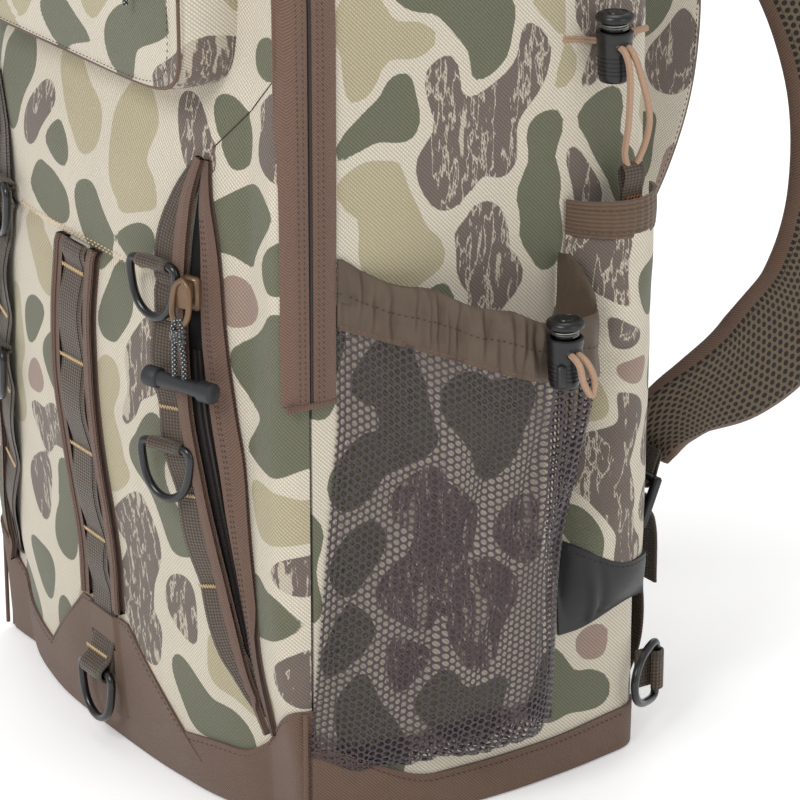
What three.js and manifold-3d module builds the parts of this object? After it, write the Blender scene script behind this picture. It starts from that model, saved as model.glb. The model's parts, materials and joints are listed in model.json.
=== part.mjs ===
// A soft tackle backpack standing upright, in millimetres, +Z up. The front faces -Y, the wearer's side +Y.
// The origin is the middle of the flat bottom. The pack is a hollow main shell whose front opens as a door
// that folds forward on a soft hinge; every strap, ring, zip, cord lock and pocket is a solid of its own.
import * as THREE from "three";
import { mergeVertices } from "three/addons/utils/BufferGeometryUtils.js";
import Module from "manifold-3d";

const wasm = await Module();
wasm.setup();

// ---- Driving dimensions ----------------------------------------------------------------------------------
const HALF_WIDTH = 147; // body, without side pockets
const BACK_Y = 98; // back of the main shell
const HEIGHT = 485; // top of the body
const ZIP_Y = -94; // parting plane between the main shell and everything in front of it
const FLAT_FRONT_Y = -104; // front face outside the bulge of the front pocket
const BULGE = 29; // how far the front pocket stands out from the flat front where it is fullest
const LOW_BULGE = 0.62; // the share of that left at the bottom, where the pocket draws in
const BULGE_HALF_WIDTH = 120;
const FOOT = 12; // rounding of the edge between the sides and the bottom
const TOP_CORNER = 85; // radius of the body's top corners
const BROW = 16; // how far the front leans back in its last stretch below the top
const BROW_RISE = 60;
const BACK_EDGE = 40; // radius of the edge between top and back
const WALL = 4; // fabric, foam and lining together
const BOOT_HEIGHT = 28; // reinforced bottom panel
const FOOT_TUCK = 4; // rounding of the front's bottom edge
const FOOT_LEAN = 5; // how far the flat front leans back towards the bottom
const BOOT_WALL = 2.5;
const HINGE_Z = 219; // where the main zip ends and the door starts to fold
const SEAM_Z = 262; // stitched seam across the front, the top of the fold
const WEBBING = 25;
const WEBBING_THICK = 1.8;
const GAP = 0.3; // clearance between pieces that touch

// ---- Colours and finish ----------------------------------------------------------------------------------
const finish = (color, roughness = 0.85, metalness = 0) =>
  new THREE.MeshStandardMaterial({ color, roughness, metalness });
const MATERIALS = {
  camo: finish(0xb9ae92),
  brown: finish(0x6a5242),
  webbing: finish(0x4d4433),
  zip: finish(0x7b5f4e),
  mesh: finish(0x3d3537),
  taffeta: finish(0x5e5140, 0.6),
  guard: finish(0x2b2c2e, 0.45),
  plastic: finish(0x17181a, 0.35),
  ring: finish(0x101113, 0.25, 0.3),
  cord: finish(0xb59276),
  padding: finish(0x4a4032),
  elastic: finish(0x66503c),
};

// ---- Geometry helpers ------------------------------------------------------------------------------------
const FAR = 400; // reaches past the whole pack in every direction
const EVERYWHERE = 700;

// Any closed geometry as a manifold solid that faces out.
function solid(geometry) {
  const bare = geometry.index ? geometry.toNonIndexed() : geometry.clone();
  bare.deleteAttribute("normal");
  bare.deleteAttribute("uv");
  const merged = mergeVertices(bare, 1e-3);
  const triVerts = new Uint32Array(merged.index.array);
  const vertProperties = new Float32Array(merged.attributes.position.array);
  const made = new wasm.Manifold(new wasm.Mesh({ numProp: 3, vertProperties, triVerts }));
  if (made.volume() > 0) return made;
  for (let i = 0; i < triVerts.length; i += 3) {
    const first = triVerts[i];
    triVerts[i] = triVerts[i + 1];
    triVerts[i + 1] = first;
  }
  return new wasm.Manifold(new wasm.Mesh({ numProp: 3, vertProperties, triVerts }));
}

function geometryOf(made) {
  const mesh = made.getMesh();
  const position = new Float32Array(mesh.numVert * 3);
  for (let i = 0; i < mesh.numVert; i++) {
    position.set(mesh.vertProperties.subarray(i * mesh.numProp, i * mesh.numProp + 3), i * 3);
  }
  const geometry = new THREE.BufferGeometry();
  geometry.setAttribute("position", new THREE.BufferAttribute(position, 3));
  geometry.setIndex(new THREE.BufferAttribute(mesh.triVerts, 1));
  geometry.computeVertexNormals();
  return geometry;
}

// A solid box between two corners.
function box(low, high) {
  const size = high.map((value, i) => value - low[i]);
  const geometry = new THREE.BoxGeometry(...size);
  geometry.translate(...low.map((value, i) => value + size[i] / 2));
  return solid(geometry);
}

// A cylinder from point a to point b.
function rod(a, b, radius, sides = 16) {
  const from = new THREE.Vector3(...a);
  const to = new THREE.Vector3(...b);
  const geometry = new THREE.CylinderGeometry(radius, radius, from.distanceTo(to), sides);
  const turn = new THREE.Quaternion().setFromUnitVectors(
    new THREE.Vector3(0, 1, 0),
    to.clone().sub(from).normalize(),
  );
  geometry.applyQuaternion(turn);
  geometry.translate(...from.add(to).multiplyScalar(0.5).toArray());
  return solid(geometry);
}

// A shape drawn in X and Z, as a solid from y0 to y1.
function extrudeAlongY(shape, y0, y1, curveSegments = 10) {
  const geometry = new THREE.ExtrudeGeometry(shape, {
    depth: y1 - y0,
    bevelEnabled: false,
    curveSegments,
  });
  geometry.rotateX(Math.PI / 2);
  geometry.translate(0, y1, 0);
  return solid(geometry);
}

// A shape drawn in Y and Z, as a solid from x0 to x1.
function extrudeAlongX(shape, x0, x1, curveSegments = 10) {
  const geometry = new THREE.ExtrudeGeometry(shape, {
    depth: x1 - x0,
    bevelEnabled: false,
    curveSegments,
  });
  geometry.applyMatrix4(new THREE.Matrix4().set(0, 0, 1, 0, 1, 0, 0, 0, 0, 1, 0, 0, 0, 0, 0, 1));
  geometry.translate(x0, 0, 0);
  return solid(geometry);
}

// A closed solid between two surfaces over one grid: near(u, v) and far(u, v) give points, u and v in 0..1.
function between(near, far, across, up) {
  const position = [];
  const index = [];
  const row = up + 1;
  const layer = (across + 1) * row;
  for (const surface of [near, far]) {
    for (let i = 0; i <= across; i++) {
      for (let j = 0; j <= up; j++) position.push(...surface(i / across, j / up).toArray());
    }
  }
  const quad = (a, b, c, d) => index.push(a, b, c, a, c, d);
  for (let i = 0; i < across; i++) {
    for (let j = 0; j < up; j++) {
      const a = i * row + j;
      quad(a, a + row, a + row + 1, a + 1);
      quad(layer + a, layer + a + 1, layer + a + row + 1, layer + a + row);
    }
  }
  for (let i = 0; i < across; i++) {
    const low = i * row;
    const high = low + up;
    quad(low, layer + low, layer + low + row, low + row);
    quad(high, high + row, layer + high + row, layer + high);
  }
  for (let j = 0; j < up; j++) {
    const last = across * row + j;
    quad(j, j + 1, layer + j + 1, layer + j);
    quad(last, layer + last, layer + last + 1, last + 1);
  }
  const geometry = new THREE.BufferGeometry();
  geometry.setAttribute("position", new THREE.Float32BufferAttribute(position, 3));
  geometry.setIndex(index);
  return solid(geometry);
}

// A sheet of the given thickness: its inner face is surface(u, v) and it grows along the surface's normal.
function sheet(surface, across, up, thickness) {
  const step = 1e-3;
  const outer = (u, v) => {
    const u0 = Math.max(0, u - step);
    const u1 = Math.min(1, u + step);
    const v0 = Math.max(0, v - step);
    const v1 = Math.min(1, v + step);
    const along = surface(u1, v).sub(surface(u0, v));
    const upward = surface(u, v1).sub(surface(u, v0));
    const normal = along.cross(upward).normalize();
    return surface(u, v).addScaledVector(normal, thickness);
  };
  return between(surface, outer, across, up);
}

// A flat strap along a path, with its width along side(v) and its thickness on one side of the path.
function strap(points, width, thickness, steps, side = () => new THREE.Vector3(1, 0, 0)) {
  const path = new THREE.CatmullRomCurve3(points.map((p) => new THREE.Vector3(...p)));
  const wide = typeof width === "function" ? width : () => width;
  const surface = (u, v) => path.getPoint(v).addScaledVector(side(v), (u - 0.5) * wide(v));
  return sheet(surface, 1, steps, thickness);
}

// A round cord along hand-placed points, with flat closed ends.
function cord(points, radius, steps, sides = 8) {
  const path = new THREE.CatmullRomCurve3(
    points.map((p) => new THREE.Vector3(...p)),
    false,
    "centripetal",
  );
  const section = new THREE.Shape();
  for (let i = 0; i < sides; i++) {
    const angle = (i / sides) * 2 * Math.PI;
    const corner = [radius * Math.cos(angle), radius * Math.sin(angle)];
    if (i === 0) section.moveTo(...corner);
    else section.lineTo(...corner);
  }
  return solid(new THREE.ExtrudeGeometry(section, { steps, extrudePath: path, bevelEnabled: false }));
}

const root = new THREE.Group();
root.name = "tackle_backpack";

// Adds a named mesh.
function piece(name, made, material) {
  const mesh = new THREE.Mesh(geometryOf(made.simplify(0.02)), MATERIALS[material]);
  mesh.name = name;
  root.add(mesh);
  return mesh;
}

// A piece on each side: the second is the first mirrored across the middle plane.
function pair(name, made, material) {
  piece(`${name}_right`, made, material);
  piece(`${name}_left`, made.mirror([1, 0, 0]), material);
}

// ---- Body outlines ---------------------------------------------------------------------------------------
// The body seen from the front, made smaller all round by inset.
function frontOutline(inset = 0) {
  const half = HALF_WIDTH - inset;
  const top = HEIGHT - inset;
  const corner = TOP_CORNER - inset;
  const shape = new THREE.Shape();
  shape.moveTo(-half + FOOT, inset);
  shape.lineTo(half - FOOT, inset);
  shape.quadraticCurveTo(half, inset, half, inset + FOOT);
  shape.lineTo(half, top - corner);
  shape.absarc(half - corner, top - corner, corner, 0, Math.PI / 2);
  shape.lineTo(-half + corner, top);
  shape.absarc(-half + corner, top - corner, corner, Math.PI / 2, Math.PI);
  shape.lineTo(-half, inset + FOOT);
  shape.quadraticCurveTo(-half, inset, -half + FOOT, inset);
  return shape;
}

// The main shell seen from the side: a flat front on the parting plane and a rounded top back edge.
function sideOutline(inset = 0) {
  const back = BACK_Y - inset;
  const top = HEIGHT - inset;
  const edge = BACK_EDGE - inset;
  const shape = new THREE.Shape();
  shape.moveTo(ZIP_Y - 60, inset);
  shape.lineTo(back, inset);
  shape.lineTo(back, top - edge);
  shape.absarc(back - edge, top - edge, edge, 0, Math.PI / 2);
  shape.lineTo(ZIP_Y - 60, top);
  return shape;
}

// Half the body's width at a height.
function halfWidthAt(z, inset = 0) {
  const half = HALF_WIDTH - inset;
  const climb = Math.sqrt(Math.max(0, (z - inset) / FOOT));
  if (climb < 1) return half - FOOT * (1 - climb) ** 2;
  const corner = TOP_CORNER - inset;
  const rise = z - (HEIGHT - inset - corner);
  if (rise <= 0) return half;
  return half - corner + Math.sqrt(Math.max(0, corner * corner - rise * rise));
}

// The front surface: a flat face with the front pocket's belly on it, fullest just below the fold.
function frontY(x, z) {
  const { lerp, smoothstep } = THREE.MathUtils;
  const share = Math.min(1, Math.abs(x) / BULGE_HALF_WIDTH);
  const crown = 1 - share ** 3.2;
  const belly = lerp(LOW_BULGE, 1, smoothstep(z, 90, 200));
  const fade = (1 - 0.12 * smoothstep(z, 225, 275)) * (1 - 0.7 * smoothstep(z, 300, 400));
  const foot = Math.max(0, 1 - z / BOOT_HEIGHT);
  const tuck = FOOT_TUCK * (1 - Math.sqrt(1 - Math.min(1, foot * foot)));
  const leanBack = FOOT_LEAN * (1 - smoothstep(z, 0, 90));
  const brow = Math.max(0, (z - HEIGHT + BROW_RISE) / BROW_RISE);
  const lean = BROW * (1 - Math.sqrt(1 - Math.min(1, brow * brow)));
  return Math.min(ZIP_Y - 3, FLAT_FRONT_Y - BULGE * crown * belly * fade + tuck + leanBack + lean);
}

// Everything between the parting plane and the front surface, made smaller by inset.
function frontSolid(inset, zLow, zHigh, backY) {
  const kink = BULGE_HALF_WIDTH / HALF_WIDTH;
  const across = (u) => {
    const t = Math.abs(2 * u - 1);
    const share = t < 0.75 ? (t / 0.75) * kink : THREE.MathUtils.mapLinear(t, 0.75, 1, kink, 1);
    return u < 0.5 ? -share : share;
  };
  const at = (u, v) => {
    const z = THREE.MathUtils.lerp(zLow, zHigh, v);
    return [across(u) * (halfWidthAt(z, inset) - 0.01), z];
  };
  const outer = (u, v) => {
    const [x, z] = at(u, v);
    return new THREE.Vector3(x, frontY(x, z) + inset, z);
  };
  const inner = (u, v) => {
    const [x, z] = at(u, v);
    return new THREE.Vector3(x, backY, z);
  };
  return between(inner, outer, 16, 24);
}

// ---- Main shell, boot and boards -------------------------------------------------------------------------
const shellBlock = (inset) =>
  extrudeAlongY(frontOutline(inset), ZIP_Y + GAP, BACK_Y - inset, 12).intersect(
    extrudeAlongX(sideOutline(inset), -HALF_WIDTH - 5, HALF_WIDTH + 5),
  );

const insideBoot = box([-FAR, -FAR, BOOT_WALL + GAP], [FAR, FAR, EVERYWHERE]);
const aboveBoot = box([-FAR, -FAR, BOOT_HEIGHT + GAP], [FAR, FAR, EVERYWHERE]);
const belowBootEdge = box([-FAR, -FAR, -1], [FAR, FAR, BOOT_HEIGHT]);

// Keeps what lies inside the boot or above it.
function clearOfBoot(outside, shrunk) {
  return outside.intersect(aboveBoot).add(shrunk.intersect(insideBoot));
}

const RIM = 12; // width of the fabric left round the mouth of the main compartment
const bootInset = BOOT_WALL + GAP;
const shellOutside = clearOfBoot(shellBlock(0), shellBlock(bootInset));
const shellCavity = shellBlock(bootInset + WALL)
  .intersect(box([-FAR, ZIP_Y + WALL + GAP, BOOT_WALL + WALL], [FAR, FAR, EVERYWHERE]));
const mouth = extrudeAlongY(frontOutline(RIM), ZIP_Y - 20, ZIP_Y + 40, 12)
  .intersect(box([-FAR, -FAR, HINGE_Z + 4], [FAR, FAR, EVERYWHERE]));
piece("main_shell", shellOutside.subtract(shellCavity).subtract(mouth), "camo");

const bootOutside = shellBlock(0)
  .add(frontSolid(0, 0, BOOT_HEIGHT + 20, ZIP_Y + 1))
  .intersect(belowBootEdge);
const bootInside = shellBlock(BOOT_WALL)
  .add(frontSolid(BOOT_WALL, BOOT_WALL, BOOT_HEIGHT + 20, ZIP_Y + 6))
  .intersect(box([-FAR, -FAR, BOOT_WALL], [FAR, FAR, EVERYWHERE]));
piece("base_boot", bootOutside.subtract(bootInside), "brown");

// Padded back panel, a rounded slab on the wearer's side.
const PAD_THICK = 13;
const padOutline = new THREE.Shape();
padOutline.moveTo(-70, 36);
padOutline.quadraticCurveTo(0, 28, 70, 36);
padOutline.quadraticCurveTo(118, 50, 126, 120);
padOutline.lineTo(126, 360);
padOutline.quadraticCurveTo(120, 418, 70, 424);
padOutline.lineTo(-70, 424);
padOutline.quadraticCurveTo(-120, 418, -126, 360);
padOutline.lineTo(-126, 120);
padOutline.quadraticCurveTo(-118, 50, -70, 36);
piece("back_pad", extrudeAlongY(padOutline, BACK_Y + GAP, BACK_Y + PAD_THICK), "padding");

// ---- Front: lower pocket, soft fold and door -------------------------------------------------------------
const FRONT_BACK_Y = ZIP_Y - GAP;
const FOLD_RISE = SEAM_Z - HINGE_Z; // how far the fold climbs from the zip's end to the front surface
const foldRun = FLAT_FRONT_Y - BULGE - ZIP_Y;

// Everything above the slanted plane through the hinge line and the front seam, lifted by lift.
function aboveFold(lift) {
  const shape = new THREE.Shape();
  const slope = FOLD_RISE / foldRun;
  shape.moveTo(ZIP_Y + 40, HINGE_Z + lift);
  shape.lineTo(ZIP_Y, HINGE_Z + lift);
  shape.lineTo(ZIP_Y - 80, HINGE_Z + lift - 80 * slope);
  shape.lineTo(ZIP_Y - 80, EVERYWHERE);
  shape.lineTo(ZIP_Y + 40, EVERYWHERE);
  return extrudeAlongX(shape, -FAR, FAR);
}

const frontOutside = frontSolid(0, 0, HEIGHT, FRONT_BACK_Y);
const frontShrunk = frontSolid(bootInset, BOOT_WALL, BOOT_HEIGHT + 20, FRONT_BACK_Y);
const lowerTop = HINGE_Z - 2;
const lowerSpace = frontSolid(WALL, 0, HEIGHT, ZIP_Y + 20)
  .intersect(box([-FAR, -FAR, BOOT_HEIGHT + 6], [FAR, FAR, lowerTop - WALL]));
const lowerFront = clearOfBoot(frontOutside, frontShrunk).subtract(lowerSpace);
piece("lower_front_pocket", lowerFront.intersect(box([-FAR, -FAR, 0], [FAR, FAR, lowerTop])), "camo");
piece(
  "front_fold",
  frontOutside
    .intersect(box([-FAR, -FAR, lowerTop + GAP], [FAR, ZIP_Y - 1, EVERYWHERE]))
    .subtract(aboveFold(-0.8)),
  "camo",
);
const doorCavity = frontSolid(WALL, HINGE_Z - 60, HEIGHT - WALL, ZIP_Y + 30)
  .intersect(aboveFold(WALL + 2))
  .intersect(box([-FAR, -FAR, 0], [FAR, 0, HEIGHT - WALL]));
piece("door_shell", frontOutside.intersect(aboveFold(0.6)).subtract(doorCavity), "camo");

// Upper front pocket on the door: a shallow rounded box.
const POCKET = { halfWidth: 110, low: 356, high: 455, frontY: -137, corner: 16 };
const pocketOutline = new THREE.Shape();
const pocketSide = POCKET.halfWidth;
pocketOutline.moveTo(-pocketSide + POCKET.corner, POCKET.low);
pocketOutline.lineTo(pocketSide - POCKET.corner, POCKET.low);
pocketOutline.quadraticCurveTo(pocketSide, POCKET.low, pocketSide, POCKET.low + POCKET.corner);
pocketOutline.lineTo(pocketSide - 4, POCKET.high - 40);
pocketOutline.quadraticCurveTo(pocketSide - 8, POCKET.high, pocketSide - 50, POCKET.high);
pocketOutline.lineTo(-pocketSide + 50, POCKET.high);
pocketOutline.quadraticCurveTo(-pocketSide + 8, POCKET.high, -pocketSide + 4, POCKET.high - 40);
pocketOutline.lineTo(-pocketSide, POCKET.low + POCKET.corner);
pocketOutline.quadraticCurveTo(-pocketSide, POCKET.low, -pocketSide + POCKET.corner, POCKET.low);
const behindPocket = frontSolid(-GAP, 0, HEIGHT, ZIP_Y);
const pocketBlock = extrudeAlongY(pocketOutline, POCKET.frontY, ZIP_Y);
const pocketMiddle = (POCKET.low + POCKET.high) / 2;
const pocketSpace = pocketBlock
  .translate([0, 3, -pocketMiddle])
  .scale([0.96, 1, 0.92])
  .translate([0, 0, pocketMiddle]);
piece("upper_pocket", pocketBlock.subtract(pocketSpace).subtract(behindPocket), "camo");
piece(
  "upper_pocket_zip",
  box(
    [-pocketSide + 14, POCKET.frontY - 2.2, POCKET.high - 42],
    [pocketSide - 14, POCKET.frontY - GAP, POCKET.high - 26],
  ),
  "zip",
);

// ---- Main zip: a tape each side of the parting plane, from the hinge up and over the top -----------------
const TAPE = 12.5;
const TAPE_THICK = 1.6;

// A point on the body's outline seen from the front, share 0 at the right zip end and 1 at the left one.
const zipRail = (() => {
  const side = HALF_WIDTH + GAP;
  const corner = TOP_CORNER + GAP;
  const straight = HEIGHT - TOP_CORNER;
  const arc = (from) => {
    const points = [];
    for (let i = 0; i <= 12; i++) {
      const angle = from + (i / 12) * (Math.PI / 2);
      const centre = from === 0 ? HALF_WIDTH - TOP_CORNER : TOP_CORNER - HALF_WIDTH;
      points.push([centre + corner * Math.cos(angle), straight + corner * Math.sin(angle)]);
    }
    return points;
  };
  const points = [[side, HINGE_Z], ...arc(0), ...arc(Math.PI / 2), [-side, HINGE_Z]];
  return points.map(([x, z]) => new THREE.Vector3(x, 0, z));
})();

function zipTape(yNear, yFar) {
  const last = zipRail.length - 1;
  const centre = new THREE.Vector3(0, 0, HINGE_Z);
  const rail = (u, grow) => {
    const i = Math.round(u * last);
    const before = zipRail[Math.max(0, i - 1)];
    const after = zipRail[Math.min(last, i + 1)];
    const along = after.clone().sub(before).normalize();
    const out = new THREE.Vector3(along.z, 0, -along.x);
    if (out.dot(zipRail[i].clone().sub(centre)) < 0) out.negate();
    return zipRail[i].clone().addScaledVector(out, grow);
  };
  const surface = (grow) => (u, v) => rail(u, grow).setY(THREE.MathUtils.lerp(yNear, yFar, v));
  return between(surface(0), surface(TAPE_THICK), last, 1);
}
piece("main_zip_rear_tape", zipTape(ZIP_Y + 0.5, ZIP_Y + TAPE), "zip");
piece("main_zip_front_tape", zipTape(ZIP_Y - 0.5, ZIP_Y - TAPE), "zip");

// ---- D-rings and the webbing loops that hold them --------------------------------------------------------
const RING_WIRE = 2.1;
const RING_HALF = 14; // centre line of the wire, half the bar's length
const RING_DROP = 26;

// A D-ring about its bar: the bar runs along X at the origin and the bow hangs down -Z.
function ringSolid() {
  const points = [
    [0, 0],
    [RING_HALF - 1, 0],
    [RING_HALF + 0.8, -2.4],
  ];
  for (let i = 1; i < 9; i++) {
    const angle = (i / 9) * Math.PI;
    points.push([RING_HALF * Math.cos(angle), -9 - (RING_DROP - 9) * Math.sin(angle)]);
  }
  points.push([-RING_HALF - 0.8, -2.4], [-RING_HALF + 1, 0]);
  const path = new THREE.CatmullRomCurve3(
    points.map(([x, z]) => new THREE.Vector3(x, 0, z)),
    true,
    "centripetal",
  );
  return solid(new THREE.TubeGeometry(path, 26, RING_WIRE, 6, true));
}

// A tube of webbing round a ring's bar, with a tail of the given depth behind it.
const LOOP_RADIUS = 4.4;
const LOOP_BORE = RING_WIRE + 0.7;
function ringLoop(depth) {
  const half = 10.5;
  return rod([-half, 0, 0], [half, 0, 0], LOOP_RADIUS, 12)
    .add(box([-half, -2, 0], [half, depth, 2]))
    .subtract(rod([-half - 1, 0, 0], [half + 1, 0, 0], LOOP_BORE, 12));
}

// ---- Webbing chains, zips and patch on the front ---------------------------------------------------------
// A strip that follows the front surface. centre(v) gives its middle as [x, z], v from 0 at the top to 1.
function frontStrip(centre, width, lift, thickness, across, up) {
  const surface = (extra) => (u, v) => {
    const [x, z] = centre(v);
    const at = x + (u - 0.5) * width(v);
    return new THREE.Vector3(at, frontY(at, z) - lift(at) - extra, z);
  };
  return between(surface(0), surface(thickness), across, up);
}
const always = (value) => () => value;

// A smooth line through [x, z] points.
function railThrough(points) {
  const path = new THREE.CatmullRomCurve3(
    points.map(([x, z]) => new THREE.Vector3(x, 0, z)),
    false,
    "centripetal",
  );
  return (v) => {
    const p = path.getPoint(v);
    return [p.x, p.z];
  };
}

// A ring's place on the front: the bar's middle, and the turn that keeps it along the curved surface.
function ringSeat(x, z, lift) {
  const slope = (frontY(x + 8, z) - frontY(x - 8, z)) / 16;
  return { at: [x, frontY(x, z) - lift, z], turn: THREE.MathUtils.radToDeg(Math.atan(slope)) };
}
const seated = (made, seat) => made.rotate([0, 0, seat.turn]).translate(seat.at);

// Centre chain: one length of webbing from the seam down, under the patch, out through the patch's slot and
// round the lowest ring.
const PATCH = { top: 72, low: BOOT_HEIGHT + 1, slot: [52, 57], thick: 1.8 };
const centerLift = GAP + WEBBING_THICK + GAP;
const centerRing = ringSeat(0, 40, centerLift + PATCH.thick + GAP + LOOP_RADIUS);
const centerFront = frontY(0, 60);
const centerStrip = frontStrip(
  (v) => [0, THREE.MathUtils.lerp(SEAM_Z + 2, 44, v)],
  always(WEBBING),
  always(GAP),
  WEBBING_THICK,
  2,
  12,
);
const centerTail = box([-10.5, centerRing.at[1], 40], [10.5, centerRing.at[1] + 2, 56.5])
  .add(box([-10.5, centerRing.at[1], 54.5], [10.5, centerFront - GAP - 0.6, 56.5]));
const centerLoop = seated(ringLoop(0.1), centerRing)
  .add(centerTail)
  .subtract(rod([-30, centerRing.at[1], 40], [30, centerRing.at[1], 40], LOOP_BORE, 12));
piece("center_chain", centerStrip.add(centerLoop), "webbing");
piece("ring_center", seated(ringSolid(), centerRing), "ring");

// The patch steps out over the webbing that runs beneath it.
const patchLift = (x) => (Math.abs(x) < WEBBING / 2 + 3.5 ? centerLift : GAP);
const patchOutline = new THREE.Shape();
patchOutline.moveTo(-66, PATCH.low);
patchOutline.lineTo(66, PATCH.low);
patchOutline.lineTo(22, PATCH.top);
patchOutline.lineTo(-22, PATCH.top);
patchOutline.lineTo(-66, PATCH.low);
const patchSheet = frontStrip(
  (v) => [0, THREE.MathUtils.lerp(PATCH.top + 4, PATCH.low - 4, v)],
  always(140),
  patchLift,
  PATCH.thick,
  36,
  4,
);
const patchSlot = box([-11.5, -200, PATCH.slot[0]], [11.5, 0, PATCH.slot[1] + 1]);
piece(
  "chain_patch",
  patchSheet.intersect(extrudeAlongY(patchOutline, -200, 0)).subtract(patchSlot),
  "brown",
);

const ZIP_STRAIGHT = {
  high: [98, 326],
  low: [94, 262],
}; // the stretch the front slider runs on
const frontZipRail = railThrough([
  ZIP_STRAIGHT.high,
  [95, 296],
  ZIP_STRAIGHT.low,
  [97, 212],
  [101, 161],
  [107, 112],
  [111, 66],
  [114, 42],
]);
pair("front_zip", frontStrip(frontZipRail, always(16), always(GAP), 1.4, 3, 20), "zip");

const CHAIN_LIFT = 2.4; // the side chains lie over the edge of the front zips
const sideChainRail = railThrough([
  [88, 312],
  [74, 263],
  [77, 215],
  [85, 172],
  [95, 119],
  [104, 69],
  [107, 52],
]);
const RING_LIFT = CHAIN_LIFT + WEBBING_THICK + LOOP_RADIUS + 0.4;
const RING_TAIL = 5.5; // how deep the loop's tail reaches back into the chain
const ringUpper = ringSeat(74.6, 273, RING_LIFT);
const ringLower = ringSeat(82.6, 186, RING_LIFT);
pair("ring_side_upper", seated(ringSolid(), ringUpper), "ring");
pair("ring_side_lower", seated(ringSolid(), ringLower), "ring");
pair(
  "side_chain",
  frontStrip(sideChainRail, always(21), always(CHAIN_LIFT), WEBBING_THICK, 3, 18)
    .add(seated(ringLoop(RING_TAIL), ringUpper))
    .add(seated(ringLoop(RING_TAIL), ringLower)),
  "webbing",
);

// Rings on webbing tabs at the back bottom corners; their bars stand upright.
const CORNER_RING = [145, BACK_Y + 10, 36];
const CORNER_TURN = 120; // the bow reaches forward along the side
const upright = (made, turn) => made.rotate([0, 90, 0]).rotate([0, 0, turn]).translate(CORNER_RING);
pair("ring_corner", upright(ringSolid(), CORNER_TURN), "ring");
const tabSleeve = rod([0, 0, -10.5], [0, 0, 10.5], LOOP_RADIUS, 12)
  .add(box([-LOOP_RADIUS, GAP - 10, -10.5], [-LOOP_RADIUS + 1.8, 0, 10.5]))
  .subtract(rod([0, 0, -12], [0, 0, 12], LOOP_BORE, 12));
pair("corner_ring_tab", tabSleeve.translate(CORNER_RING), "webbing");

// ---- Side pockets ----------------------------------------------------------------------------------------
const SIDE_X = HALF_WIDTH + GAP;

// A sheet that bellies out from the side: edge(v) is its front Y, height(u, v) its Z, out(u, v) how far.
function sideSheet(edge, back, height, out, across, up, thickness) {
  const surface = (u, v) => {
    const y = THREE.MathUtils.lerp(edge(v), back, u);
    return new THREE.Vector3(SIDE_X + out(u, v), y, height(u, v));
  };
  return sheet(surface, across, up, thickness);
}

// The mesh pocket is fullest near its back edge and its top runs down towards the back.
const MESH = { back: 37, low: 42, belly: 37, topFront: 254, topBack: 210, collar: 29 };
const meshOut = (u, v) => MESH.belly * Math.sin(Math.PI * u ** 2.2) ** 0.6 * (1 - (1 - v) ** 2.4);
const meshTop = (u) => THREE.MathUtils.lerp(MESH.topFront, MESH.topBack, u);
const meshHeight = (u, v) => THREE.MathUtils.lerp(MESH.low, meshTop(u), v);
const collarHeight = (u, v) => meshTop(u) + 0.5 + v * MESH.collar;
const meshEdge = (v) => THREE.MathUtils.lerp(-97, -80.5, Math.min(1, v * 1.3));
const collarEdge = always(-80.5);
pair("mesh_pocket", sideSheet(meshEdge, MESH.back, meshHeight, meshOut, 14, 8, 2), "mesh");
const collarOut = (u) => meshOut(u, 1);
pair("mesh_collar", sideSheet(collarEdge, MESH.back, collarHeight, collarOut, 14, 1, 2.4), "taffeta");

const SLEEVE = { front: 45, back: 95, low: 112, high: 276, belly: 22 };
const round = (u) => Math.sin(Math.PI * u) ** 0.6;
const fromTo = (low, high) => (u, v) => THREE.MathUtils.lerp(low, high, v);
const sleeveEdge = always(SLEEVE.front);
const sleeveOut = (u, v) => SLEEVE.belly * (0.72 + 0.28 * v) * round(u);
const guardOut = (u, v) => SLEEVE.belly * 0.72 * (1 - (1 - v) ** 2.4) * round(u);
const elasticOut = (u) => SLEEVE.belly * round(u);
pair(
  "rod_sleeve",
  sideSheet(sleeveEdge, SLEEVE.back, fromTo(SLEEVE.low, SLEEVE.high), sleeveOut, 12, 4, 2),
  "camo",
);
pair(
  "rod_sleeve_elastic",
  sideSheet(sleeveEdge, SLEEVE.back, fromTo(276.5, 292), elasticOut, 12, 1, 2.4),
  "elastic",
);
pair(
  "rod_tip_guard",
  sideSheet(sleeveEdge, SLEEVE.back, fromTo(72, 111.5), guardOut, 12, 4, 2),
  "guard",
);

// ---- Cord locks ------------------------------------------------------------------------------------------
const CORD_RADIUS = 1.6;
const LOCK = { radius: 8.6, height: 24, neck: 6.2, capRadius: 9, capThick: 4, travel: 4, hole: 17 };
const holeHalfWidth = 2 * CORD_RADIUS + 0.9;
const holeHalfHeight = CORD_RADIUS + 0.4;

// A turned solid with its axis on Z, from [radius, z] points.
function turned(profile, sides = 18) {
  const points = profile.map(([r, z]) => new THREE.Vector2(r, z));
  return solid(new THREE.LatheGeometry(points, sides).rotateX(Math.PI / 2));
}

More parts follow.
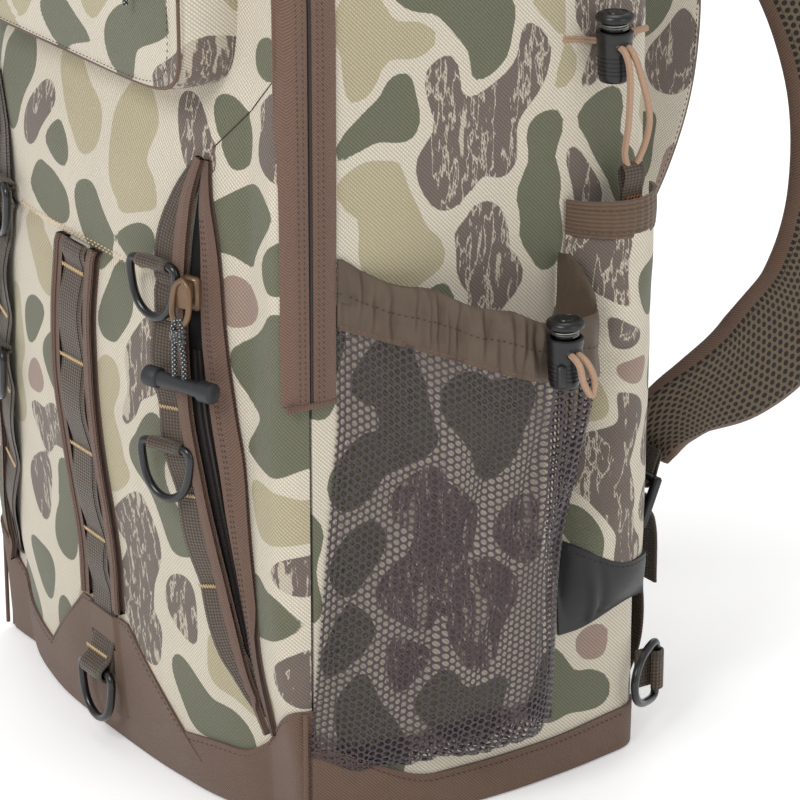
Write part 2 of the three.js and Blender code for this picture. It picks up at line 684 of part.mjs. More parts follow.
// The barrel stands on z = 0 with its cord hole along X; the button rises out of its open top.
const lockBarrel = turned([
  [0, 0],
  [LOCK.radius - 1.2, 0],
  [LOCK.radius, 1.6],
  [LOCK.radius, LOCK.height],
  [LOCK.neck + 0.5, LOCK.height],
  [LOCK.neck + 0.5, 7],
  [0, 7],
]).subtract(
  box([-20, -holeHalfWidth, LOCK.hole - holeHalfHeight], [20, holeHalfWidth, LOCK.hole + holeHalfHeight]),
);
const capLow = LOCK.height + LOCK.travel + 0.6;
const lockButton = turned([
  [0, 7 + LOCK.travel + 0.6],
  [LOCK.neck, 7 + LOCK.travel + 0.6],
  [LOCK.neck, capLow],
  [LOCK.capRadius, capLow],
  [LOCK.capRadius, capLow + LOCK.capThick - 1.4],
  [LOCK.capRadius - 2.2, capLow + LOCK.capThick],
  [0, capLow + LOCK.capThick],
]).subtract(
  box(
    [-20, -holeHalfWidth, LOCK.hole - holeHalfHeight],
    [20, holeHalfWidth, LOCK.hole + holeHalfHeight + LOCK.travel + 0.5],
  ),
);

// ---- Bungee over the rod: one cord through its lock twice, with a sewn tab on the loop -------------------
const BUNGEE_LOCK = [SIDE_X + LOCK.radius + 6, 62, 366 - LOCK.hole];
const [lockX, lockY] = BUNGEE_LOCK;
const strand = CORD_RADIUS + 0.35;
const bungeeFront = [
  [SIDE_X + 1.9, 42, 369],
  [SIDE_X + 2.2, 50, 367.6],
  [SIDE_X + 3, 57, 366.3],
  [lockX - 9, lockY - strand, 366],
  [lockX, lockY - strand, 366],
  [lockX + 9, lockY - strand, 366],
  [lockX + 12.4, lockY - 1.8, 362.6],
  [lockX + 12.4, lockY, 354],
  [lockX + 8, lockY + 3, 330],
  [lockX + 2, lockY + 6, 312],
];
const bungeeBack = [
  [SIDE_X + 1.9, 90, 367],
  [SIDE_X + 2.2, 80, 366.6],
  [SIDE_X + 3, 69, 366.2],
  [lockX - 9, lockY + strand, 366],
  [lockX, lockY + strand, 366],
  [lockX + 9, lockY + strand, 366],
  [lockX + 12.4, lockY + 2.4, 362.6],
  [lockX + 12.4, lockY + 6, 354],
  [lockX + 8, lockY + 15, 330],
  [lockX + 2, lockY + 15, 312],
];
const bungeeTurn = [lockX + 1, lockY + 10.5, 305];
const bungeeRoute = [...bungeeFront, bungeeTurn, ...bungeeBack.reverse()];
const BUNGEE_STEPS = 54;
pair("bungee", cord(bungeeRoute, CORD_RADIUS, BUNGEE_STEPS), "cord");
pair("bungee_lock_barrel", lockBarrel.translate(BUNGEE_LOCK), "plastic");
pair("bungee_lock_button", lockButton.translate(BUNGEE_LOCK), "plastic");
const tabMiddle = [lockX + 1, lockY + 10.5];
const END_TAB = { halfThick: 3.6, halfWidth: 6, low: 281, high: 309.5 };
const endTab = box(
  [tabMiddle[0] - END_TAB.halfThick, tabMiddle[1] - END_TAB.halfWidth, END_TAB.low],
  [tabMiddle[0] + END_TAB.halfThick, tabMiddle[1] + END_TAB.halfWidth, END_TAB.high],
)
  .subtract(cord(bungeeRoute, CORD_RADIUS + 0.5, BUNGEE_STEPS));
pair("bungee_end_tab", endTab, "webbing");

// ---- Drawcord and lock on the mesh pocket's collar -------------------------------------------------------
const collarFace = SIDE_X + 36;
const COLLAR_LOCK = [collarFace + 4 + LOCK.radius, 12, 238 - LOCK.hole];
const drawSide = (sign) => [
  [collarFace + 3.2, COLLAR_LOCK[1] + sign * strand, 238],
  [COLLAR_LOCK[0] - 8, COLLAR_LOCK[1] + sign * strand, 238],
  [COLLAR_LOCK[0] + 8, COLLAR_LOCK[1] + sign * strand, 238],
  [COLLAR_LOCK[0] + 13, COLLAR_LOCK[1] + sign * 2.4 + 1, 235],
  [COLLAR_LOCK[0] + 13.6, COLLAR_LOCK[1] + sign * 3 + 4, 226],
];
const drawcordRoute = [
  ...drawSide(-1),
  [COLLAR_LOCK[0] + 13, COLLAR_LOCK[1] + 6, 219],
  ...drawSide(1).reverse(),
];
pair("collar_drawcord", cord(drawcordRoute, CORD_RADIUS, 30), "cord");
pair("collar_lock_barrel", lockBarrel.translate(COLLAR_LOCK), "plastic");
pair("collar_lock_button", lockButton.translate(COLLAR_LOCK), "plastic");

// ---- Shoulder straps, their webbing and ladder locks -----------------------------------------------------
// Each strap is a contoured pad: flat on the pack at its top end, then standing on edge in a wide loop behind
// the pack, and turned flat again where it tapers into its ladder lock.
const STRAP = { width: 66, endWidth: 30, thick: 13 };
const LADDER = { at: [103, 122, 113], tilt: 22 };
const strapRoute = [
  { at: [44, 116, 428], side: [1, 0, 0] },
  { at: [47, 150, 440], side: [0.95, 0.15, 0.3] },
  { at: [56, 202, 424], side: [0.6, 0.45, 0.66] },
  { at: [66, 246, 376], side: [0.25, 0.78, 0.58] },
  { at: [78, 268, 306], side: [0.08, 1, 0.1] },
  { at: [86, 264, 236], side: [0.05, 0.92, -0.39] },
  { at: [91, 238, 186], side: [0.05, 0.5, -0.86] },
  { at: [95, 200, 163], side: [0.05, 0.3, -0.95] },
  { at: [98, 166, 154], side: [0.05, 0.26, -0.96] },
  { at: [101, 144, 146], side: [0.5, 0.4, -0.77] },
  { at: [103, 130, 132], side: [0.96, 0.1, -0.26] },
];
const strapTurn = new THREE.CatmullRomCurve3(strapRoute.map(({ side }) => new THREE.Vector3(...side)));
const strapWidth = (v) =>
  THREE.MathUtils.lerp(STRAP.width, STRAP.endWidth, THREE.MathUtils.smoothstep(v, 0.78, 1));
const strapSheet = strap(
  strapRoute.map(({ at }) => at),
  strapWidth,
  STRAP.thick,
  40,
  (v) => strapTurn.getPoint(v).normalize(),
);
const onLadder = (made) => made.rotate([-LADDER.tilt, 0, 0]).translate(LADDER.at);
const ladderFrame = box([-18, -2.5, -14], [18, 2.5, 13])
  .subtract(box([-13.5, -4, 3], [13.5, 4, 9]))
  .subtract(box([-13.5, -4, -10], [13.5, 4, -1]));
const ladderLoop = box([-12.5, -4.7, 6.6], [12.5, 4.7, 24])
  .subtract(box([-20, -2.9, 8.6], [20, 2.9, 13.4]));
pair("ladder_lock", onLadder(ladderFrame), "plastic");
pair("shoulder_strap", strapSheet.add(onLadder(ladderLoop)), "padding");
const webRoute = [
  [118, BACK_Y + 2.4, 24],
  [117, 110, 44],
  [112, 115, 66],
  [106, 114.2, 88],
  [104, 113.6, 102],
  [103, 116.5, 110.5],
  [103, 120, 108],
  [103, 126, 105],
  [103, 129, 96],
  [103, 130, 66],
];
pair("strap_webbing", strap(webRoute, WEBBING, WEBBING_THICK, 24), "webbing");

// ---- Grab handle -----------------------------------------------------------------------------------------
const handleTop = HEIGHT + 1;
const handleRoute = [
  [-66, 46, handleTop],
  [-56, 46, handleTop],
  [-46, 46, handleTop + 8],
  [-30, 46, handleTop + 22],
  [0, 46, handleTop + 28],
  [30, 46, handleTop + 22],
  [46, 46, handleTop + 8],
  [56, 46, handleTop],
  [66, 46, handleTop],
];
const HANDLE_THICK = 3;
const acrossPack = () => new THREE.Vector3(0, -1, 0);
piece("grab_handle", strap(handleRoute, WEBBING, HANDLE_THICK, 24, acrossPack), "webbing");

// ---- Zip sliders -----------------------------------------------------------------------------------------
// Front slider with its pull, doubled cord and cross bar.
const [sliderX, sliderZ] = ZIP_STRAIGHT.low;
const sliderSlope = (frontY(sliderX + 6, sliderZ) - frontY(sliderX - 6, sliderZ)) / 12;
const sliderTurn = THREE.MathUtils.radToDeg(Math.atan(sliderSlope));
const BAR = { drop: 41, radius: 4.4, half: 21, out: -13 };
const pullCord = (side) => rod([2.4 * side, BAR.out, -10], [1.8 * side, BAR.out, -BAR.drop], 1.6, 8);
const frontSlider = box([-5, -9, -8], [5, -5.4, 8])
  .add(box([-3.5, -12.6, -3], [3.5, -8, 8]))
  .add(box([-5, -14.4, -14], [5, -11.6, 7]))
  .add(pullCord(-1))
  .add(pullCord(1))
  .add(rod([-BAR.half, BAR.out, -BAR.drop], [BAR.half, BAR.out, -BAR.drop], BAR.radius, 12));
const sliderSeat = [sliderX, frontY(sliderX, sliderZ), sliderZ];
pair("front_zip_slider", frontSlider.rotate([0, 0, sliderTurn]).translate(sliderSeat), "plastic");

// Main sliders meet at the middle of the top, their pulls lying outwards.
const topZ = HEIGHT + GAP + TAPE_THICK;
const mainSlider = box([3, ZIP_Y - 5.5, topZ + GAP], [16, ZIP_Y + 5.5, topZ + 4.4])
  .add(box([10, ZIP_Y - 4, topZ + 4], [40, ZIP_Y + 4, topZ + 6.6]));
pair("main_zip_slider", mainSlider, "plastic");

export default root;
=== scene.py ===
"""A soft tackle backpack: every cloth panel, strap, zip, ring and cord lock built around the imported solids.

Lengths are in millimetres until a mesh is made, +Z up, -Y towards the front of the pack.
"""
import json
import math

import bpy
import numpy as np
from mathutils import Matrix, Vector


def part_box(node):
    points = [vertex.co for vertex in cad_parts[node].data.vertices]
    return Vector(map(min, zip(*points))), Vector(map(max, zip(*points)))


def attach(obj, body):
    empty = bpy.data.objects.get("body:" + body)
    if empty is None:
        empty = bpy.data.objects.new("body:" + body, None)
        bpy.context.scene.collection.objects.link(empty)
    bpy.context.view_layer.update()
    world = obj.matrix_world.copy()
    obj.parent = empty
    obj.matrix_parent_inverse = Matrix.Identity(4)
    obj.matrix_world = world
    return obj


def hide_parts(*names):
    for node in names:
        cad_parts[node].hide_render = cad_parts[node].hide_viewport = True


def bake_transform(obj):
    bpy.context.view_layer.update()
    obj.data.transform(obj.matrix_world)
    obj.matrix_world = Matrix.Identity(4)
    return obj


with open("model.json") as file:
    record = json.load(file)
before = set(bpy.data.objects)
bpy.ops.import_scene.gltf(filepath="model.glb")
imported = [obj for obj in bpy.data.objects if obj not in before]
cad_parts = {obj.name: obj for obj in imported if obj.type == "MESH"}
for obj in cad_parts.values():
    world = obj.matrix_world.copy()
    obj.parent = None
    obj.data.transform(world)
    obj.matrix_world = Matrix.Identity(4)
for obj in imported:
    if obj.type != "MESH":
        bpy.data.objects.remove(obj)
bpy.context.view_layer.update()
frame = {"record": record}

MM = 0.001
HALF, BACK, TOP = np.array(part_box("main_shell")[1]) / MM  # half the body's width, its back and its top
PARTING = -94.0  # plane of the main zip
CORNER = 85.0  # radius of the top corners
BACK_EDGE = 40.0
HINGE_Z = 219.0
SEAM_Z = 262.0
SIDE = HALF + 0.3
X_AXIS, Y_AXIS, UP = np.eye(3)


# ---- Numbers and curves ------------------------------------------------------------------------------------
def smooth(x, low, high):
    t = np.clip((x - low) / (high - low), 0, 1)
    return t * t * (3 - 2 * t)


def lerp(a, b, t):
    return a + (b - a) * t


def unit(v):
    return v / np.maximum(np.linalg.norm(v, axis=-1, keepdims=True), 1e-9)


def spline(points, count):
    """A smooth centripetal curve through points, as count points evenly spaced along it."""
    p = np.array(points, float)
    p = np.vstack([2 * p[0] - p[1], p, 2 * p[-1] - p[-2]])
    out = []
    for i in range(len(p) - 3):
        a, b, c, d = p[i:i + 4]
        t1 = np.linalg.norm(b - a) ** 0.5
        t2 = t1 + np.linalg.norm(c - b) ** 0.5
        t3 = t2 + np.linalg.norm(d - c) ** 0.5
        t = np.linspace(t1, t2, 24, endpoint=False)[:, None]
        ab = (t1 - t) / t1 * a + t / t1 * b
        bc = (t2 - t) / (t2 - t1) * b + (t - t1) / (t2 - t1) * c
        cd = (t3 - t) / (t3 - t2) * c + (t - t2) / (t3 - t2) * d
        abc = (t2 - t) / t2 * ab + t / t2 * bc
        bcd = (t3 - t) / (t3 - t1) * bc + (t - t1) / (t3 - t1) * cd
        out.append((t2 - t) / (t2 - t1) * abc + (t - t1) / (t2 - t1) * bcd)
    out = np.vstack(out + [p[-2][None]])
    return even(out, count)


def grid_of(u, v):
    """Both coordinates of every crossing of u and v."""
    return np.meshgrid(u, v, indexing="ij")


def lengths(p):
    """How far along a line each of its points lies."""
    return np.concatenate([[0], np.cumsum(np.linalg.norm(np.diff(p, axis=0), axis=1))])


def even(p, count):
    """The same line as count evenly spaced points."""
    s = lengths(p)
    at = np.linspace(0, s[-1], count)
    return np.stack([np.interp(at, s, p[:, i]) for i in range(p.shape[1])], axis=1)


def tangents(p, closed=False):
    if closed:
        return unit(np.roll(p, -1, axis=0) - np.roll(p, 1, axis=0))
    return unit(np.gradient(p, axis=0))


# ---- Raw meshes --------------------------------------------------------------------------------------------
class Raw:
    """Points in mm, faces, flat cloth coordinates in mm and a material number per face."""

    def __init__(self):
        self.points, self.flat, self.faces, self.finish = [], [], [], []
        self.count = 0

    def add(self, points, faces, flat=None, finish=0):
        points = np.asarray(points, float).reshape(-1, 3)
        flat = points[:, :2] if flat is None else np.asarray(flat, float).reshape(-1, 2)
        self.points.append(points)
        self.flat.append(flat)
        self.faces += [tuple(int(i) + self.count for i in f) for f in faces]
        self.finish += list(finish) if hasattr(finish, "__len__") else [finish] * len(faces)
        self.count += len(points)
        return self

    def join(self, other, finish=0):
        return self.add(np.vstack(other.points), other.faces, np.vstack(other.flat),
                        [f + finish for f in other.finish])

    def mirrored(self):
        out = Raw()
        out.add(np.vstack(self.points) * [-1, 1, 1], [f[::-1] for f in self.faces], np.vstack(self.flat),
                self.finish)
        return out


def quads(nu, nv, close_u=False, close_v=False):
    faces = []
    for i in range(nu if close_u else nu - 1):
        for j in range(nv if close_v else nv - 1):
            a, b = i * nv + j, (i + 1) % nu * nv + j
            c, d = (i + 1) % nu * nv + (j + 1) % nv, i * nv + (j + 1) % nv
            faces.append((a, b, c, d))
    return faces


def grid_normals(p):
    return unit(np.cross(np.gradient(p, axis=0), np.gradient(p, axis=1)))


def shell_faces(nu, nv):
    """Faces of a grid, of its copy behind it and of the rim between the two."""
    outer = quads(nu, nv)
    inside = [tuple(i + nu * nv for i in f[::-1]) for f in outer]
    ring = [i * nv for i in range(nu)] + [(nu - 1) * nv + j for j in range(1, nv)]
    ring += [i * nv + nv - 1 for i in range(nu - 2, -1, -1)] + list(range(nv - 2, 0, -1))
    rim = [(ring[k], ring[k] + nu * nv, ring[k - 1] + nu * nv, ring[k - 1]) for k in range(len(ring))]
    return outer, inside, rim


def cloth(p, thick, flat=None, away=(0, 0, 250), inner=1):
    """A closed sheet: its outer face is the grid p, seen from the side that away isn't on."""
    nu, nv = p.shape[:2]
    n = grid_normals(p)
    outward = np.sum(n * (p - np.array(away, float)), axis=2).mean() > 0
    if not outward:
        n = -n
    if flat is None:
        flat = flat_of(p)
    outer, inside, rim = shell_faces(nu, nv)
    faces = outer + inside + rim
    if not outward:
        faces = [f[::-1] for f in faces]
    points = np.concatenate([p.reshape(-1, 3), (p - n * thick).reshape(-1, 3)])
    finish = [0] * len(outer) + [inner] * len(inside) + [0] * len(rim)
    return Raw().add(points, faces, np.concatenate([flat.reshape(-1, 2)] * 2), finish)


def flat_of(p):
    """Arc lengths along the middle row and column of a grid, as its flat coordinates."""
    nu, nv = p.shape[:2]
    s = lengths(p[:, nv // 2])
    t = lengths(p[nu // 2])
    return np.stack(grid_of(s, t), axis=2)


def sweep(centres, side, normal, section, closed=False):
    """A section of [across, out] points carried along centres, with capped ends if it doesn't close."""
    section = np.array(section, float)
    n, m = len(centres), len(section)
    p = centres[:, None] + side[:, None] * section[None, :, :1] + normal[:, None] * section[None, :, 1:]
    around = lengths(np.vstack([section, section[:1]]))[:m]
    along = lengths(centres)
    flat = np.stack(grid_of(along, around), axis=2)[..., ::-1]
    faces = quads(n, m, close_u=closed, close_v=True)
    if not closed:
        faces += [tuple(range(m))[::-1], tuple(range((n - 1) * m, n * m))]
    turn = np.sum(np.cross(side[0], normal[0]) * tangents(centres, closed)[0])
    if (turn > 0) == (area_sign(section) > 0):
        faces = [f[::-1] for f in faces]
    return Raw().add(p.reshape(-1, 3), [f[::-1] for f in faces], flat.reshape(-1, 2))


def area_sign(section):
    x, y = section[:, 0], section[:, 1]
    return np.sum(x * np.roll(y, -1) - np.roll(x, -1) * y)


def round_section(radius, count=12):
    a = np.linspace(0, 2 * math.pi, count, endpoint=False)
    return np.stack([radius * np.cos(a), radius * np.sin(a)], axis=1)


def flat_section(width, thick, low=0.0):
    """A ribbon's section: flat faces and rounded edges, standing on out = low."""
    e = thick / 2
    half = width / 2 - e
    a = np.linspace(-math.pi / 2, math.pi / 2, 5)
    right = np.stack([half + e * np.cos(a), low + e + e * np.sin(a)], axis=1)
    across = np.linspace(half, -half, 7)[1:-1]
    top = np.stack([across, np.full(5, low + thick)], axis=1)
    return np.vstack([right, top, right[::-1] * [-1, 1], np.stack([-across, np.full(5, low)], axis=1)])


def tube(points, radius, count=12, closed=False, ref=UP):
    """A round tube along a line; ref only sets how its section starts out turned."""
    t = tangents(points, closed)
    side = np.zeros_like(t)
    last = np.cross(t[0], ref)
    if np.linalg.norm(last) < 0.1:
        last = np.cross(t[0], [1.0, 0, 0])
    for i, along in enumerate(t):
        last = last - along * np.dot(last, along)
        last = last / np.linalg.norm(last)
        side[i] = last
    return sweep(points, side, np.cross(t, side), round_section(radius, count), closed)


def ribbon(path, side, section, turn=1):
    """A strap along a path, its width along side; turn -1 puts the section's outer face on the other side."""
    side = np.tile(side, (len(path), 1))
    return sweep(path, side, turn * unit(np.cross(side, tangents(path))), section)


def turned(profile, sides=36):
    """A solid of revolution about Z from [radius, z] points that start and end on the axis."""
    profile = np.array(profile, float)
    a = np.linspace(0, 2 * math.pi, sides, endpoint=False)
    mid = profile[1:-1]
    p = np.stack([mid[None, :, 0] * np.cos(a)[:, None], mid[None, :, 0] * np.sin(a)[:, None],
                  np.broadcast_to(mid[None, :, 1], (sides, len(mid)))], axis=2)
    m = len(mid)
    points = np.vstack([p.reshape(-1, 3), [0, 0, profile[0, 1]], [0, 0, profile[-1, 1]]])
    faces = quads(sides, m, close_u=True)
    low, high = sides * m, sides * m + 1
    for i in range(sides):
        j = (i + 1) % sides
        faces += [(low, j * m, i * m), (high, i * m + m - 1, j * m + m - 1)]
    flat = np.stack([np.concatenate([np.repeat(a * 8, m), [0, 0]]), points[:, 2]], axis=1)
    return Raw().add(points, faces, flat)


def block(low, high, edge=0.8):
    """A box with bevelled edges."""
    low, high = np.array(low, float), np.array(high, float)
    c, h = (low + high) / 2, (high - low) / 2
    points, index = [], {}
    for sx in (-1, 1):
        for sy in (-1, 1):
            for sz in (-1, 1):
                for k in range(3):
                    s = np.array([sx, sy, sz])
                    q = h - edge
                    q[k] = h[k]
                    index[sx, sy, sz, k] = len(points)
                    points.append(c + s * q)
    faces = []
    for k in range(3):
        a, b = (k + 1) % 3, (k + 2) % 3
        for s in (-1, 1):
            def at(p, q, axis):
                key = [0, 0, 0]
                key[k], key[a], key[b] = s, p, q
                return index[(*key, axis)]
            face = [at(-1, -1, k), at(1, -1, k), at(1, 1, k), at(-1, 1, k)]
            faces.append(tuple(face if s > 0 else face[::-1]))
        for p in (-1, 1):
            for q in (-1, 1):
                def edge_at(w, axis):
                    key = [0, 0, 0]
                    key[k], key[a], key[b] = w, p, q
                    return index[(*key, axis)]
                face = (edge_at(-1, a), edge_at(1, a), edge_at(1, b), edge_at(-1, b))
                faces.append(face if p * q < 0 else face[::-1])
    for sx in (-1, 1):
        for sy in (-1, 1):
            for sz in (-1, 1):
                face = tuple(index[sx, sy, sz, i] for i in range(3))
                faces.append(face if sx * sy * sz > 0 else face[::-1])
    return Raw().add(points, faces)


def stitches(path, normal, pitch=3.0, length=2.1, width=0.55, lift=0.15):
    """Thread dashes along a line, each a small spindle lying on the cloth."""
    total = lengths(path)[-1]
    count = max(2, int(total / pitch))
    p = even(path, count)
    t = tangents(p)
    n = even(normal, count) if len(normal) == len(path) else np.broadcast_to(normal[0], p.shape)
    n = unit(n)
    s = np.cross(t, n)
    out = Raw()
    faces = [(0, 2, 3), (0, 3, 4), (0, 4, 2), (1, 3, 2), (1, 4, 3), (1, 2, 4)]
    for q, along, up, side in zip(p, t, n, s):
        q = q + up * lift
        out.add([q - along * length / 2, q + along * length / 2,
                 q + side * width / 2, q + up * width * 0.7, q - side * width / 2], faces)
    return out


def bar_tack(centre, across, normal, width):
    """A dense zigzag of thread across a webbing, 1.5 mm high."""
    half = 0.75
    along = np.cross(across, normal)
    count = int(width / 0.9)
    zig = []
    for i in range(count + 1):
        zig.append(centre + across * lerp(-width / 2, width / 2, i / count)
                   + along * (half if i % 2 else -half) + normal * 0.35)
    zig = np.array(zig)
    side = np.broadcast_to(along, zig.shape)
    return sweep(zig, side, np.broadcast_to(normal, zig.shape), round_section(0.34, 5))


# ---- Camouflage --------------------------------------------------------------------------------------------
OLIVE, KHAKI, BARK, PINK = range(4)
CHANNEL = 2.4  # half the least width of the pale network between patches
PATCH_REACH = 15.5  # how far a patch spreads from the points that place it
MERGE = 3.4  # how softly the points of one patch run together
SOFTNESS = 3.0  # how softly neighbouring patches push each other back
TALLER = 0.88  # patches are a little taller than wide
PATCH_PITCH = (44, 54)  # spacing of the scattered patches
PATCH_CLEAR = 36  # least distance of a scattered patch from a listed one


def camo_fields(flat, seeds, seed):
    """How far inside a patch of each colour every point lies, in mm. seeds are (colour, [points])."""
    x, y = flat[:, 0], flat[:, 1]
    a, b, c = seed * 1.7, seed * 2.9, seed * 0.6
    warp_x = 4.2 * np.sin(y / 15 + a) + 2.6 * np.sin(y / 8.0 + x / 19 + b)
    warp_y = 4.2 * np.sin(x / 14 + c) + 2.4 * np.sin(x / 8.5 - y / 17 + a)
    q = np.stack([x + warp_x, (y + warp_y) * TALLER], axis=1)
    reach = []
    for _, spots in seeds:
        total = np.zeros(len(q))
        for spot in spots:
            grown = spot[2] if len(spot) > 2 else 0.0
            total += np.exp(-(np.hypot(q[:, 0] - spot[0], q[:, 1] - spot[1] * TALLER) - grown) / MERGE)
        reach.append(-MERGE * np.log(np.maximum(total, 1e-40)))
    reach = np.array(reach)
    low = reach.min(axis=0)
    weight = np.exp(-(reach - low) / SOFTNESS)
    total = weight.sum(axis=0)
    fields = np.full((len(flat), 4), -30.0)
    for k, (colour, _) in enumerate(seeds):
        others = np.maximum(total - weight[k], 1e-30)
        edge = (low - SOFTNESS * np.log(others) - reach[k]) / 2 - CHANNEL
        own = PATCH_REACH - (3.0 if colour == PINK else 0.0) - reach[k]
        both = -2 * np.log(np.exp(-np.clip(edge, -60, 60) / 2) + np.exp(-np.clip(own, -60, 60) / 2))
        fields[:, colour] = np.maximum(fields[:, colour], both)
    return fields


def scatter(low, high, seed, keep=()):
    """Patch seeds over a rectangle of cloth on a shaken brick lattice, away from the listed ones."""
    rng = np.random.default_rng(seed)
    taken = [s[:2] for _, spots in keep for s in spots]
    out = list(keep)
    rows = int((high[1] - low[1]) / PATCH_PITCH[1]) + 3
    columns = int((high[0] - low[0]) / PATCH_PITCH[0]) + 3
    for j in range(rows):
        for i in range(columns):
            jitter = rng.uniform(-0.3, 0.3, 2) * PATCH_PITCH
            colour = rng.choice([OLIVE, KHAKI, BARK, PINK], p=[0.4, 0.24, 0.26, 0.1])
            stretch = rng.uniform(-16, 16)
            tall = rng.random() < 0.5
            corner = [low[0] + (i - 0.5 + 0.5 * (j % 2)) * PATCH_PITCH[0],
                      low[1] + (j - 0.5) * PATCH_PITCH[1]]
            at = np.array(corner) + jitter
            if any(math.hypot(at[0] - t[0], at[1] - t[1]) < PATCH_CLEAR for t in taken):
                continue
            spots = [(at[0], at[1], 6.0)]
            if tall and colour != PINK:
                spots.append((at[0] + stretch, at[1] + 24, 3.0))
                spots.append((at[0] - stretch * 0.8, at[1] - 14, 2.0))
            out.append((int(colour), spots))
    return out


# ---- Making objects ----------------------------------------------------------------------------------------
BODY_OF = {node: body for body, nodes in frame["record"]["behaviour"]["bodies"].items() for node in nodes}


def mesh_of(name, raw, finishes, camo=None, printed=None):
    mesh = bpy.data.meshes.new(name)
    points = np.vstack(raw.points)
    mesh.from_pydata((points * MM).tolist(), [], raw.faces)
    for material in finishes:
        mesh.materials.append(material)
    mesh.polygons.foreach_set("material_index", [min(f, len(finishes) - 1) for f in raw.finish])
    mesh.polygons.foreach_set("use_smooth", [True] * len(mesh.polygons))
    flat = np.vstack(raw.flat)
    loops = np.zeros(len(mesh.loops), int)
    mesh.loops.foreach_get("vertex_index", loops)
    layer = mesh.uv_layers.new(name="UVMap")
    layer.data.foreach_set("uv", (flat[loops] * MM).astype(np.float32).ravel())
    rest = mesh.attributes.new("rest", "FLOAT_VECTOR", "POINT")
    rest.data.foreach_set("vector", (points * MM).astype(np.float32).ravel())
    if camo is not None:
        fields = camo_fields(flat if printed is None else printed, *camo)
        paint = mesh.attributes.new("camo", "FLOAT_COLOR", "POINT")
        paint.data.foreach_set("color", np.clip(0.5 + fields / 40, 0, 1).astype(np.float32).ravel())
    mesh.validate()
    mesh.set_sharp_from_angle(angle=math.radians(42))
    mesh.update()
    return mesh


def make(name, raw, finishes, body=None, node=None, slot=None, bend=False, camo=None, printed=None):
    """One object from a raw mesh, riding on a body unless bend is set, when it is left in place unattached,
    and standing for the CAD nodes it replaces.
    """
    obj = bpy.data.objects.new(name, mesh_of(name, raw, finishes, camo, printed))
    bpy.context.scene.collection.objects.link(obj)
    nodes = [node] if isinstance(node, str) else list(node or [])
    if bend:
        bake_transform(obj)
    else:
        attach(obj, body or BODY_OF[nodes[0]])
    if nodes:
        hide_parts(*nodes)
    return obj


def both_sides(name, raw, finishes, node=None, camo=None, camo_left=None, **more):
    """The piece on the right side and its mirror image on the left."""
    made = []
    for side, part, paint in (("right", raw, camo), ("left", raw.mirrored(), camo_left or camo)):
        replaced = f"{node}_{side}" if node else None
        made.append(make(f"{name}_{side}", part, finishes, node=replaced, camo=paint, **more))
    return made


# ---- Materials ---------------------------------------------------------------------------------------------
def linear(red, green, blue):
    """A screen colour, 0 to 255, as the linear colour that a shader takes."""
    return tuple((c / 255 / 12.92 if c < 10.3 else ((c / 255 + 0.055) / 1.055) ** 2.4)
                 for c in (red, green, blue)) + (1,)


